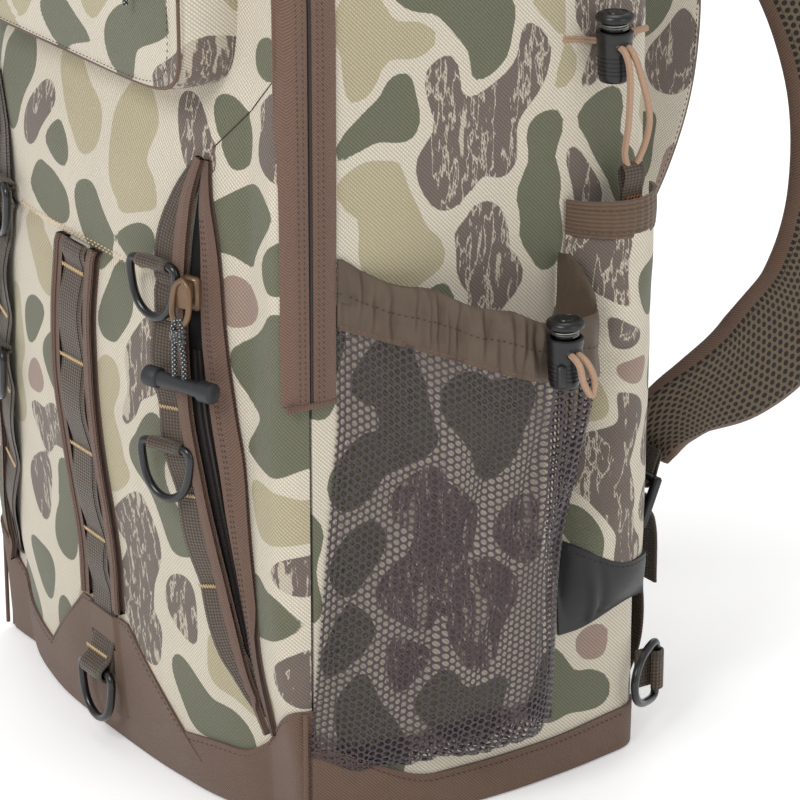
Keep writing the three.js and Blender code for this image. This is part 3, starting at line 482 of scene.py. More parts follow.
class Shader:
    """A node material built by short calls. Values may be numbers, colours or other nodes' sockets."""

    def __init__(self, name, roughness=0.8, **settings):
        self.material = bpy.data.materials.new(name)
        self.material.use_nodes = True
        self.tree = self.material.node_tree
        self.bsdf = self.tree.nodes["Principled BSDF"]
        self.bsdf.inputs["Roughness"].default_value = roughness
        for key, value in settings.items():
            self.bsdf.inputs[key.replace("_", " ")].default_value = value

    def node(self, kind, **settings):
        made = self.tree.nodes.new("ShaderNode" + kind)
        for key, value in settings.items():
            setattr(made, key, value)
        return made

    def plug(self, socket, value):
        if hasattr(value, "is_output"):
            self.tree.links.new(value, socket)
        else:
            socket.default_value = value

    def math(self, operation, *values):
        made = self.node("Math", operation=operation)
        for socket, value in zip(made.inputs, values):
            self.plug(socket, value)
        return made.outputs[0]

    def wave(self, phase, period):
        """A sine of a length in metres, 0 to 1."""
        turn = self.math("MULTIPLY_ADD", phase, 2 * math.pi / (period * MM), 0.0)
        return self.math("MULTIPLY_ADD", self.math("SINE", turn), 0.5, 0.5)

    def ramp(self, value, low, high):
        made = self.node("MapRange", interpolation_type="SMOOTHSTEP")
        for key, v in (("Value", value), ("From Min", low), ("From Max", high)):
            self.plug(made.inputs[key], v)
        return made.outputs[0]

    def mix(self, share, a, b):
        made = self.node("Mix", data_type="RGBA")
        for index, value in ((0, share), (6, a), (7, b)):
            self.plug(made.inputs[index], value)
        return made.outputs[2]

    def shade(self, colour, value, low, high):
        """The colour times a factor that runs from low to high with value."""
        made = self.node("Mix", data_type="RGBA", blend_type="MULTIPLY")
        made.inputs[0].default_value = 1
        self.plug(made.inputs[6], colour)
        grey = self.node("CombineColor")
        factor = self.math("MULTIPLY_ADD", value, high - low, low)
        for socket in grey.inputs[:3]:
            self.plug(socket, factor)
        self.plug(made.inputs[7], grey.outputs[0])
        return made.outputs[2]

    def noise(self, vector, scale, detail=3.0, roughness=0.55):
        made = self.node("TexNoise")
        self.plug(made.inputs["Vector"], vector)
        made.inputs["Scale"].default_value = scale
        made.inputs["Detail"].default_value = detail
        made.inputs["Roughness"].default_value = roughness
        return made.outputs[0]

    def flat(self):
        """The cloth's flat coordinates in metres, across and along."""
        uv = self.node("UVMap", uv_map="UVMap")
        split = self.node("SeparateXYZ")
        self.plug(split.inputs[0], uv.outputs[0])
        return split.outputs[0], split.outputs[1]

    def rest(self):
        return self.node("Attribute", attribute_name="rest").outputs["Vector"]

    def stretch(self, vector, x, y, z):
        made = self.node("Mapping")
        self.plug(made.inputs["Vector"], vector)
        made.inputs["Scale"].default_value = (x, y, z)
        return made.outputs[0]

    def finish(self, colour, height=None, strength=0.5, depth=0.4, roughness=None):
        self.plug(self.bsdf.inputs["Base Color"], colour)
        if height is not None:
            bump = self.node("Bump")
            bump.inputs["Strength"].default_value = strength
            bump.inputs["Distance"].default_value = depth * MM
            self.plug(bump.inputs["Height"], height)
            self.plug(self.bsdf.inputs["Normal"], bump.outputs[0])
        if roughness is not None:
            self.plug(self.bsdf.inputs["Roughness"], roughness)
        return self.material


def oxford(s):
    """A plain oxford weave seen on the slant: small raised lozenges in diagonal rows 2 mm apart."""
    pitch = 2.0
    u, v = s.flat()
    rows = s.wave(s.math("ADD", u, v), pitch)
    crossed = s.wave(s.math("SUBTRACT", u, v), pitch)
    return s.math("MULTIPLY", rows, s.math("MULTIPLY_ADD", crossed, 0.6, 0.4))


CREAM = linear(216, 206, 187)


def camo_material():
    s = Shader("camo_oxford", 0.86, Sheen_Weight=0.15, Sheen_Roughness=0.6)
    paint = s.node("Attribute", attribute_name="camo")
    split = s.node("SeparateColor")
    s.plug(split.inputs[0], paint.outputs["Color"])
    ragged = s.math("MULTIPLY_ADD", s.noise(s.rest(), 900, 2.0), 0.012, -0.006)
    fields = [s.math("ADD", split.outputs[i], ragged) for i in range(3)]
    fields.append(s.math("ADD", paint.outputs["Alpha"], ragged))
    edge = [s.ramp(f, 0.495, 0.505) for f in fields]
    grain = s.noise(s.stretch(s.rest(), 1, 1, 0.26), 95, 4.0, 0.62)
    bands = s.noise(s.stretch(s.rest(), 1, 1, 0.3), 42, 1.0)
    strokes = s.math("ADD", s.math("MULTIPLY", grain, 0.72), s.math("MULTIPLY", bands, 0.28))
    streak = s.ramp(s.math("ABSOLUTE", s.math("SUBTRACT", strokes, 0.5)), 0.016, 0.004)
    pale = s.ramp(strokes, 0.575, 0.6)
    bark = s.mix(s.math("MAXIMUM", streak, pale), linear(112, 98, 89), linear(196, 184, 166))
    colour = s.mix(edge[OLIVE], CREAM, linear(104, 105, 82))
    colour = s.mix(edge[KHAKI], colour, linear(184, 173, 141))
    colour = s.mix(edge[BARK], colour, bark)
    colour = s.mix(edge[PINK], colour, linear(160, 136, 122))
    weave = oxford(s)
    faded = s.noise(s.rest(), 30)
    # the weave's height also darkens its hollows and lightens its raised lozenges: painted shade and
    # highlight; faded is a random tone
    colour = s.shade(s.shade(colour, weave, 0.62, 1.16), faded, 0.92, 1.05)
    return s.finish(colour, weave, 0.55, 0.5)


def ribbed_material(name, colour):
    """Heavy twill with ribs on the slant, as on the boot."""
    s = Shader(name, 0.85, Sheen_Weight=0.15)
    u, v = s.flat()
    ribs = s.wave(s.math("ADD", u, v), 1.7)
    cross = s.wave(s.math("SUBTRACT", u, v), 0.9)
    height = s.math("ADD", s.math("MULTIPLY", ribs, 0.75), s.math("MULTIPLY", cross, 0.25))
    worn = s.noise(s.rest(), 60)
    # the twill's height also darkens its hollows and lightens its ribs: painted shade and highlight; worn is
    # a random tone
    return s.finish(s.shade(s.shade(linear(*colour), height, 0.62, 1.15), worn, 0.9, 1.08), height, 0.7, 0.5)


def webbing_material(name, light, dark):
    """Nylon webbing: rows across, broken into columns."""
    pitch = 1.9
    s = Shader(name, 0.7, Sheen_Weight=0.2)
    u, v = s.flat()
    columns = s.wave(u, pitch)
    rows = s.wave(v, pitch * 0.8)
    height = s.math("MULTIPLY", s.math("MULTIPLY_ADD", rows, 0.65, 0.35),
                    s.math("MULTIPLY_ADD", columns, 0.6, 0.4))
    fuzz = s.noise(s.rest(), 400)
    # the dark colour lies in the hollows between ribs and columns and the light one on the raised threads:
    # painted shade and highlight; fuzz is a random tone
    colour = s.mix(s.ramp(height, 0.1, 0.62), linear(*dark), linear(*light))
    return s.finish(s.shade(colour, fuzz, 0.85, 1.12), height, 0.85, 0.6)


def herringbone_material(name, colour, column):
    """Zip tape: slanting ribs that turn back at every column."""
    s = Shader(name, 0.82, Sheen_Weight=0.15)
    u, v = s.flat()
    fold = s.math("PINGPONG", u, column * MM)
    ribs = s.wave(s.math("ADD", v, fold), 1.5)
    fuzz = s.noise(s.rest(), 300)
    # the ribs' height also darkens their hollows and lightens their crowns: painted shade and highlight; fuzz
    # is a random tone
    return s.finish(s.shade(s.shade(linear(*colour), ribs, 0.66, 1.12), fuzz, 0.9, 1.08), ribs, 0.7, 0.4)


def elastic_material():
    s = Shader("elastic_rib", 0.8, Sheen_Weight=0.2)
    u, v = s.flat()
    ribs = s.wave(v, 2.1)
    knit = s.wave(u, 0.9)
    height = s.math("ADD", s.math("MULTIPLY", ribs, 0.8), s.math("MULTIPLY", knit, 0.2))
    # the ribs' height also darkens their hollows and lightens their crowns: painted shade and highlight
    return s.finish(s.shade(linear(98, 76, 58), height, 0.6, 1.12), height, 0.7, 0.5)


def taffeta_material():
    s = Shader("taffeta", 0.55, Sheen_Weight=0.06, Sheen_Roughness=0.4)
    u, v = s.flat()
    weave = s.math("MULTIPLY", s.wave(u, 0.7), s.wave(v, 0.7))
    crumple = s.noise(s.rest(), 75, 4.0, 0.6)
    height = s.math("MULTIPLY_ADD", weave, 0.06, crumple)
    # the crumple also darkens the wrinkles' hollows and lightens their crests, and the weave its threads:
    # painted shade and highlight
    return s.finish(s.shade(s.shade(linear(84, 69, 54), crumple, 0.72, 1.25), weave, 0.9, 1.06), height, 0.5,
                    2.0)


def hexagons(s, pitch):
    """Peaks in offset rows over the flat cloth, from -1.5 between them to 3 on top."""
    u, v = s.flat()
    third = []
    for turn in (0, 60, 120):
        a = math.radians(turn)
        along = s.math("ADD", s.math("MULTIPLY", u, math.cos(a)), s.math("MULTIPLY", v, math.sin(a)))
        third.append(s.math("COSINE", s.math("MULTIPLY", along, 2 * math.pi / (pitch * 0.866 * MM))))
    return s.math("ADD", s.math("ADD", third[0], third[1]), third[2])


def net_material():
    """Open hexagonal netting: dark threads and see-through holes."""
    s = Shader("hexagon_net", 0.75, Sheen_Weight=0.2)
    total = hexagons(s, 3.6)
    thread = s.ramp(total, -0.35, -0.7)
    colour = s.shade(linear(66, 53, 58), s.noise(s.rest(), 350), 0.7, 1.25)
    s.finish(colour, s.math("MULTIPLY", total, -0.3), 0.4, 0.4)
    clear = s.node("BsdfTransparent")
    mixer = s.node("MixShader")
    s.plug(mixer.inputs[0], thread)
    s.plug(mixer.inputs[1], clear.outputs[0])
    s.plug(mixer.inputs[2], s.bsdf.outputs[0])
    s.plug(s.tree.nodes["Material Output"].inputs["Surface"], mixer.outputs[0])
    return s.material


def spacer_material():
    """Padded spacer mesh: a brown face full of small cells in offset rows, their insides painted dark as
    shade.
    """
    s = Shader("spacer_mesh", 0.9, Sheen_Weight=0.05)
    cells = hexagons(s, 4.6)
    wall = s.ramp(cells, 0.55, -0.2)
    # the cells, which are holes, get a near-black colour for the shade inside them: painted shade
    colour = s.mix(wall, linear(28, 24, 20), linear(96, 82, 64))
    return s.finish(s.shade(colour, s.noise(s.rest(), 250), 0.78, 1.15), wall, 0.9, 1.2)


def lining_material():
    s = Shader("lining", 0.75)
    u, v = s.flat()
    grid = s.math("MAXIMUM", s.ramp(s.wave(u, 5), 0.93, 1.0), s.ramp(s.wave(v, 5), 0.93, 1.0))
    weave = s.math("MULTIPLY", s.wave(u, 0.8), s.wave(v, 0.8))
    height = s.math("ADD", s.math("MULTIPLY", weave, 0.4), grid)
    # the raised grid and weave threads are lighter and the hollows darker: painted highlight and shade
    return s.finish(s.shade(linear(92, 80, 66), height, 0.85, 1.15), height, 0.4, 0.3)


def moulded_material(name, colour, roughness, **settings):
    """Moulded plastic or lacquered metal with a fine grain and rubbed patches."""
    s = Shader(name, roughness, **settings)
    grain = s.noise(s.rest(), 1500, 2.0)
    rubbed = s.noise(s.rest(), 120)
    matt = s.math("MULTIPLY_ADD", rubbed, 0.16, roughness - 0.08)
    return s.finish(s.shade(linear(*colour), rubbed, 0.8, 1.25), grain, 0.12, 0.15, matt)


def braid_material(name, light, dark, fleck=0.5, pitch=1.5):
    """Braided cord: slanting strands, some of them in the second colour."""
    s = Shader(name, 0.75, Sheen_Weight=0.2)
    u, v = s.flat()
    one = s.wave(s.math("ADD", v, u), pitch)
    other = s.wave(s.math("SUBTRACT", v, u), pitch)
    braid = s.math("MAXIMUM", one, other)
    colour = s.mix(s.ramp(s.math("MULTIPLY", one, other), fleck, fleck + 0.15), linear(*light), linear(*dark))
    # the strand colours are the cord's own; the braid's height then darkens the hollows between strands and
    # lightens their crowns: painted shade and highlight
    return s.finish(s.shade(colour, braid, 0.72, 1.1), braid, 0.6, 0.3)


def thread_material(name, colour):
    s = Shader(name, 0.7)
    twist = s.noise(s.rest(), 1800, 1.0)
    return s.finish(s.shade(linear(*colour), twist, 0.75, 1.2), twist, 0.4, 0.2)


def rubber_material():
    s = Shader("rubberised_cloth", 0.5)
    pores = s.noise(s.rest(), 1100, 3.0)
    scuffs = s.noise(s.stretch(s.rest(), 1, 1, 3), 70, 4.0)
    matt = s.math("MULTIPLY_ADD", scuffs, 0.25, 0.36)
    return s.finish(s.shade(linear(20, 20, 22), scuffs, 0.75, 1.3), pores, 0.2, 0.2, matt)


CAMO = camo_material()
BROWN = ribbed_material("brown_twill", (104, 79, 63))
WEBBING = webbing_material("olive_webbing", (84, 67, 50), (32, 25, 19))
TAPE = herringbone_material("zip_tape", (112, 85, 71), 9.0)
FLAP = herringbone_material("zip_flap", (106, 80, 66), 5.0)
COIL = moulded_material("zip_coil", (30, 22, 19), 0.5)
ELASTIC = elastic_material()
TAFFETA = taffeta_material()
NET = net_material()
SPACER = spacer_material()
LINING = lining_material()
RUBBER = rubber_material()
BLACK = moulded_material("black_plastic", (15, 15, 16), 0.34)
GREY = moulded_material("dark_grey_plastic", (36, 37, 39), 0.5)
RING = moulded_material("ring_lacquer", (9, 9, 10), 0.3, Coat_Weight=0.3)
BRONZE = moulded_material("bronze_pull", (112, 88, 66), 0.3, Metallic=0.35)
STEEL = moulded_material("lock_spring_steel", (150, 148, 142), 0.3, Metallic=0.9)
CORD = braid_material("tan_cord", (170, 136, 110), (128, 98, 77), 0.75)
BLACK_CORD = braid_material("flecked_cord", (36, 36, 38), (176, 178, 176), 0.55, 2.2)
TAN_THREAD = thread_material("tan_thread", (218, 190, 146))
DARK_THREAD = thread_material("dark_thread", (58, 42, 34))
RUST_THREAD = thread_material("rust_thread", (150, 92, 56))
# a near-black sheet of painted shade, laid in the open gaps of the front zips
GAP_SHADE = Shader("shadowed_gap", 0.95).finish(linear(16, 13, 12))


# ---- Camera ------------------------------------------------------------------------------------------------
def place_camera():
    """A long lens that looks at the right front corner from a little above."""
    azimuth, elevation = math.radians(56.47), math.radians(20.66)
    look = Vector((-math.sin(azimuth) * math.cos(elevation), math.cos(azimuth) * math.cos(elevation),
                   -math.sin(elevation)))
    data = bpy.data.cameras.new("camera")
    data.lens = 168.97
    data.sensor_width = 36
    data.clip_start = 0.05
    camera = bpy.data.objects.new("camera", data)
    camera.location = (1.49116, -0.93617, 0.81864)
    camera.rotation_euler = look.to_track_quat("-Z", "Y").to_euler()
    bpy.context.scene.collection.objects.link(camera)
    bpy.context.scene.camera = camera


place_camera()

# ---- Cords -------------------------------------------------------------------------------------------------
CORD_RADIUS = 1.6
LOCK_X = SIDE + 14.6
LOCKS = {"bungee": (LOCK_X, 62, 349), "collar": (195.9, 12, 221)}
# each cord's way on the right: out of the cloth, through its lock, round its loop and back through the lock
BUNGEE_ROUTE = [
    (SIDE + 1.9, 42, 369), (SIDE + 2.2, 50, 367.6), (SIDE + 3, 57, 366.3), (152.9, 60.05, 366),
    (161.9, 60.05, 366), (170.9, 60.05, 366), (174.3, 60.2, 362.6), (174.3, 62, 354), (169.9, 65, 330),
    (163.9, 68, 312), (162.9, 72.5, 305), (163.9, 77, 312), (169.9, 77, 330), (174.3, 68, 354),
    (174.3, 64.4, 362.6), (170.9, 63.95, 366), (161.9, 63.95, 366), (152.9, 63.95, 366),
    (SIDE + 3, 69, 366.2), (SIDE + 2.2, 80, 366.6), (SIDE + 1.9, 90, 367),
]
DRAWCORD_ROUTE = [
    (186.5, 10.05, 238), (187.9, 10.05, 238), (203.9, 10.05, 238), (208.9, 10.6, 235), (209.5, 13, 226),
    (208.9, 18, 219), (209.5, 19, 226), (208.9, 15.4, 235), (203.9, 13.95, 238), (187.9, 13.95, 238),
    (186.5, 13.95, 238),
]


def free_cord(name, route, steps):
    for side, sign in (("right", 1), ("left", -1)):
        path = spline(np.array(route) * [sign, 1, 1], steps)
        raw = tube(path, CORD_RADIUS, 12)
        cord = make(f"{name}_loop_{side}", raw, [CORD], node=f"{name}_{side}", slot="cord")


free_cord("bungee", BUNGEE_ROUTE, 150)
free_cord("collar_drawcord", DRAWCORD_ROUTE, 70)


# ---- The body's surfaces -----------------------------------------------------------------------------------
FRONT_PLANE = -104  # the flat part of the front
FRONT_BELLY = 29  # how far the lower pocket stands out from it
FRONT_ROUNDING = 11  # radius of the front's edge


def front_y(x, z):
    """The front of the pack: a flat face with the pocket's belly on it."""
    crown = 1 - np.minimum(1, np.abs(x) / 120) ** 3.2
    belly = lerp(0.62, 1, smooth(z, 90, 200))
    fade = (1 - 0.12 * smooth(z, 225, 275)) * (1 - 0.7 * smooth(z, 300, 400))
    foot = np.clip(1 - z / 28, 0, 1)
    tuck = 4 * (1 - np.sqrt(1 - foot * foot))
    lean_back = 5 * (1 - smooth(z, 0, 90))
    brow = np.clip((z - TOP + 60) / 60, 0, 1)
    lean = 16 * (1 - np.sqrt(1 - brow * brow))
    squarer = 5 * smooth(z, 20, 120) * (1 - smooth(z, 300, 420)) * smooth(np.abs(x), 60, 125)
    return FRONT_PLANE - FRONT_BELLY * crown * belly * fade + tuck + lean_back + lean - squarer


def rim_distance(x, z):
    """How far inside the body's outline a point of the front lies."""
    a, b = np.abs(x) - (HALF - CORNER), z - (TOP - CORNER)
    straight = np.minimum(HALF - np.abs(x), TOP - z)
    return np.where((a > 0) & (b > 0), CORNER - np.hypot(a, b), straight)


def half_width(z):
    rise = np.clip(z - (TOP - CORNER), 0, CORNER)
    return HALF - CORNER + np.sqrt(np.maximum(CORNER ** 2 - rise ** 2, 0))


def ripple(x, z, size=1.0):
    """Slight unevenness of cloth over foam."""
    return size * (0.5 * np.sin(x / 19 + z / 31) + 0.35 * np.sin(z / 13 - x / 37 + 1.3)
                   + 0.2 * np.sin(x / 7.5 + z / 11))


def groove(x, z, line, depth=1.3, width=1.6):
    """How deep a sewn seam along a line of two points pulls the cloth in."""
    (ax, az), (bx, bz) = line
    length = math.hypot(bx - ax, bz - az)
    t = np.clip(((x - ax) * (bx - ax) + (z - az) * (bz - az)) / length ** 2, 0, 1)
    return depth * np.exp(-(np.hypot(x - ax - t * (bx - ax), z - az - t * (bz - az)) / width) ** 2)


FRONT_SEAM = ((-80, SEAM_Z), (80, SEAM_Z))
BROW_SEAM = ((101, 331.5), (146, 380))


def front_surface(x, z):
    """The outer cloth of the front with its edge rounded back to the main zip, sewn seams and ripples."""
    edge = np.clip(rim_distance(x, z) / FRONT_ROUNDING, 0, 1)
    rounding = np.sqrt(np.maximum(1 - (1 - edge) ** 2, 0))
    pulled = groove(x, z, FRONT_SEAM, 1.6, 2.2) + groove(np.abs(x), z, BROW_SEAM)
    y = PARTING - 0.8 + (front_y(x, z) + pulled + ripple(x, z, 0.7) * edge - PARTING + 0.8) * rounding
    return np.stack([x + 0 * y, y, z + 0 * y], axis=-1)


def front_point(x, z):
    return front_surface(np.array([x]), np.array([z]))[0]


def front_normal(x, z):
    e = 1.0
    dx = front_surface(x + e, z) - front_surface(x - e, z)
    dz = front_surface(x, z + e) - front_surface(x, z - e)
    return unit(np.cross(dx, dz))


def on_front(points, lift=0.0):
    """Points and normals on the front for [x, z] pairs."""
    p = np.array(points, float)
    n = front_normal(p[:, 0], p[:, 1])
    return (front_surface(p[:, 0], p[:, 1])
            + n * np.broadcast_to(np.asarray(lift, float), (len(p),))[:, None], n)


EDGE_STEPS = [0, 0.15, 0.6, 1.4, 2.6, 4.2, 6.4, 9.2]


def front_panel():
    """The whole front as one closed shell: pocket, fold and door, camouflage outside and lining inside."""
    steps = np.array(EDGE_STEPS)
    rows = np.concatenate([np.linspace(3, TOP - 12, 150), TOP - steps[::-1]])
    count = 96
    grid = np.zeros((count + 2 * len(steps), len(rows), 3))
    for j, z in enumerate(rows):
        half = half_width(z)
        middle = np.linspace(-(half - 11.5), half - 11.5, count)
        x = np.concatenate([-(half - steps), middle, (half - steps)[::-1]])
        grid[:, j] = front_surface(x, np.full_like(x, z))
    nu, nv = grid.shape[:2]
    back = grid.copy()
    back[..., 1] = PARTING - 0.7
    outer, inside, rim = shell_faces(nu, nv)
    girth = np.linalg.norm(np.diff(grid[..., :2], axis=0), axis=2)
    across = np.concatenate([np.zeros((1, nv)), np.cumsum(girth, axis=0)])
    flat = np.stack([across - across[nu // 2], grid[..., 2]], axis=2)
    raw = Raw().add(np.concatenate([grid.reshape(-1, 3), back.reshape(-1, 3)]), outer + inside + rim,
                    np.concatenate([flat.reshape(-1, 2)] * 2),
                    [0] * len(outer) + [1] * (len(inside) + len(rim)))
    return raw, np.concatenate([grid[..., [0, 2]].reshape(-1, 2)] * 2)


# the front's larger patches, listed as [x, z] points, from the right edge to the left
FRONT_PATCHES = [
    (OLIVE, [(115, 302), (130, 290)]), (PINK, [(116, 262)]), (BARK, [(87, 337)]), (OLIVE, [(143, 284)]),
    (OLIVE, [(122, 240), (136, 244), (130, 226), (143, 216), (140, 192)]), (KHAKI, [(135, 165), (145, 158)]),
    (BARK, [(144, 126)]), (OLIVE, [(117, 116), (136, 112)]), (KHAKI, [(100, 80), (113, 68)]),
    (BARK, [(74, 94)]), (OLIVE, [(112, 343), (138, 370)]), (BARK, [(138, 358), (140, 334)]),
    (OLIVE, [(74, 50), (96, 42)]), (KHAKI, [(42, 330), (41, 313), (54, 293)]),
    (OLIVE, [(14, 280), (26, 271), (54, 273)]), (BARK, [(55, 225), (58, 208), (50, 190)]),
    (OLIVE, [(60, 182), (56, 165), (66, 138)]), (OLIVE, [(35, 255), (35, 234)]),
    (KHAKI, [(30, 200), (32, 180), (25, 155)]), (BARK, [(30, 136), (45, 118), (33, 95), (42, 70)]),
    (KHAKI, [(-16, 62)]), (OLIVE, [(-48, 40)]), (OLIVE, [(-17, 222), (-18, 188)]),
    (KHAKI, [(-40, 255), (-33, 232)]), (OLIVE, [(-46, 210)]), (PINK, [(-46, 174)]),
    (BARK, [(-50, 155), (-32, 156), (-61, 118)]), (OLIVE, [(-34, 128), (-35, 94)]), (OLIVE, [(-68, 70)]),
    (OLIVE, [(-35, 271), (-20, 282)]), (OLIVE, [(-20, 300)]), (BARK, [(-45, 312)]),
    (KHAKI, [(-14, 332), (2, 327)]),
]


def build_front():
    """The front panel with its cross seam and the two cords that run to its upper corners."""
    seeds = scatter((-160, 0), (160, TOP), 5, FRONT_PATCHES)
    raw, printed = front_panel()
    make("front_camo_panel", raw, [CAMO, LINING], node=["lower_front_pocket", "front_fold", "door_shell"],
         slot="camo", bend=True, camo=(seeds, 1), printed=printed)
    x = np.linspace(-62, 64, 90)
    thread = Raw()
    for above in (1.6, 3.6):
        p, n = on_front(np.stack([x, np.full_like(x, SEAM_Z + above)], axis=1))
        thread.join(stitches(p, n, 3.2, 2.5, 0.9, 0.1))
    make("front_seam_stitching", thread, [TAN_THREAD], slot="cord", bend=True)
    welt = Raw()
    for sign in (1, -1):
        t = np.linspace(0, 1, 40)
        line = np.stack([sign * lerp(101, 145, t), lerp(331.5, 379, t)], axis=1)
        p, n = on_front(line, 0.1)
        welt.join(tube(p, 0.35, 6))
    make("brow_seam_cord", welt, [DARK_THREAD], slot="camo", bend=True)


def side_bulge(y, z):
    """How far the body's side swells out."""
    middle = np.clip(1 - ((y + 4) / 100) ** 2, 0, 1)
    return middle * (10 * (1 - smooth(z, 0, 130)) + 3.2 * smooth(z, 200, 330) * (1 - smooth(z, 380, 460)))


def outline(count_side=70, count_arc=26, count_top=16, low=3.0):
    """The body's outline, right bottom over the top to left bottom, as [x, z] points and outward normals."""
    z = np.linspace(low, TOP - CORNER, count_side)
    right = np.stack([np.full_like(z, HALF), z], axis=1)
    a = np.linspace(0, math.pi / 2, count_arc)[1:]
    arc = np.stack([HALF - CORNER + CORNER * np.cos(a), TOP - CORNER + CORNER * np.sin(a)], axis=1)
    x = np.linspace(HALF - CORNER, 0, count_top)[1:]
    top = np.stack([x, np.full_like(x, TOP)], axis=1)
    half = np.vstack([right, arc, top])
    normal = np.vstack([np.tile([1.0, 0], (count_side, 1)), np.stack([np.cos(a), np.sin(a)], axis=1),
                        np.tile([0, 1.0], (len(x), 1))])
    line = np.vstack([half, (half * [-1, 1])[-2::-1]])
    return line, np.vstack([normal, (normal * [-1, 1])[-2::-1]])


def body_point(line, normal, y, grow=0.0):
    """The body's skin at an outline place and a depth y, with the back edge rounded off."""
    z = line[..., 1]
    radius = lerp(14, BACK_EDGE, smooth(z, TOP - 110, TOP - 20))
    over = np.clip((y - (BACK - radius)) / radius, 0, 1)
    inset = radius * (1 - np.sqrt(1 - over ** 2 * 0.9999))
    out = side_bulge(y, z) * np.abs(normal[..., 0]) + grow - inset
    uneven = ripple(y, z, 0.5) * np.clip((y - PARTING) / 20, 0, 1)
    out = out + uneven
    return np.stack([line[..., 0] + normal[..., 0] * out, y + 0 * z, z + normal[..., 1] * out], axis=-1)


# the same on the side, as [y, z] points from the top down
SIDE_PATCHES = [
    (OLIVE, [(-38, 398), (-18, 394), (2, 388), (-5, 373)]), (KHAKI, [(-68, 392), (-44, 379), (-68, 366)]),
    (KHAKI, [(36, 380), (42, 352)]), (BARK, [(53, 382), (72, 379), (54, 348)]),
    (KHAKI, [(105, 335), (110, 295)]),
    (BARK, [(22, 365), (20, 350), (4, 345), (-24, 359), (-11, 341), (9, 329), (-22, 322), (-16, 311)]),
    (OLIVE, [(-64, 347), (-52, 352), (-50, 340)]), (KHAKI, [(-62, 318), (-48, 306), (-57, 288), (-40, 272)]),
    (OLIVE, [(38, 325), (31, 300), (28, 272)]), (OLIVE, [(66, 332), (75, 308), (75, 296)]),
    (BARK, [(55, 298)]), (BARK, [(-2, 290), (-11, 276), (6, 258)]), (OLIVE, [(-22, 252)]),
    (OLIVE, [(-52, 225), (-38, 206), (-44, 188), (-72, 177)]), (OLIVE, [(-10, 202), (5, 180), (12, 194)]),
    (BARK, [(-36, 158), (-10, 148), (-24, 122), (-43, 106), (4, 106), (-10, 84)]), (BARK, [(26, 128)]),
    (OLIVE, [(-66, 140), (-78, 100)]), (BARK, [(-50, 76)]), (PINK, [(67, 60)]),
    (OLIVE, [(44, 44), (64, 42), (106, 31)]), (OLIVE, [(-22, 55), (0, 50)]),
]


def build_shell():
    """The sides and the top as one band of cloth, the back, and the wall behind the front pocket."""
    line, normal = outline()
    y = np.concatenate([np.linspace(PARTING + 0.8, BACK - 41, 44),
                        BACK - 40 * np.cos(np.linspace(0, math.pi / 2, 14))])
    radius = lerp(14, BACK_EDGE, smooth(line[:, 1], TOP - 110, TOP - 20))
    depth = np.minimum(y[None, :], BACK - 0.2 + 0 * radius[:, None])
    grid = body_point(line[:, None], normal[:, None], depth)
    along = lengths(line)
    height = along + 3.0
    flat = np.stack(np.broadcast_arrays(depth, height[:, None]), axis=2)
    raw = cloth(grid, 3.0, flat)
    seeds = scatter((-110, 0), (115, along[-1] + 10), 8, SIDE_PATCHES)
    make("shell_camo_band", raw, [CAMO, LINING], node="main_shell", slot="camo", camo=(seeds, 3))
    build_back()
    # the wall between the main compartment and the front pocket
    x = np.linspace(-HALF + 3, HALF - 3, 30)
    z = np.linspace(4, HINGE_Z + 2, 30)
    gx, gz = grid_of(x, z)
    wall = np.stack([gx, PARTING + 2.5 + ripple(gx, gz, 0.5), gz], axis=2)
    make("inner_front_wall", cloth(wall, 1.6, away=(0, 0, 100), inner=0), [LINING], body="pack",
         slot="taffeta")


def build_back():
    """The cloth behind the back pad, closing the body."""
    steps = np.array([0, 1.5, 4, 8])
    rows = np.concatenate([np.linspace(3, TOP - 45, 60), np.linspace(TOP - 42, TOP - 34, 4)])
    count = 60
    grid = np.zeros((count + 2 * len(steps), len(rows), 3))
    for j, z in enumerate(rows):
        half = half_width(z) - lerp(13.5, 30, smooth(z, TOP - 110, TOP - 20))
        x = np.concatenate([-(half - steps), np.linspace(-half + 10, half - 10, count), (half - steps)[::-1]])
        bow = 0.3 + 1.2 * np.clip((half - np.abs(x)) / 30, 0, 1)
        grid[:, j] = np.stack([x, BACK - 1.2 + bow, np.full_like(x, z)], axis=1)
    seeds = scatter((-160, 0), (160, TOP), 21)
    make("back_camo_panel", cloth(grid, 3.0, grid[..., [0, 2]]), [CAMO, LINING], body="pack", slot="camo",
         camo=(seeds, 5))


# ---- Boot --------------------------------------------------------------------------------------------------
def boot_top_front(x):
    return 23 + 9 * smooth(np.abs(x), 20, 100) + 34 * smooth(np.abs(x), 100, 147) ** 1.3


def boot_top_side(y):
    return 20 + 26 * (1 - smooth(y, -98, -30)) + 2 * smooth(y, 30, 90)


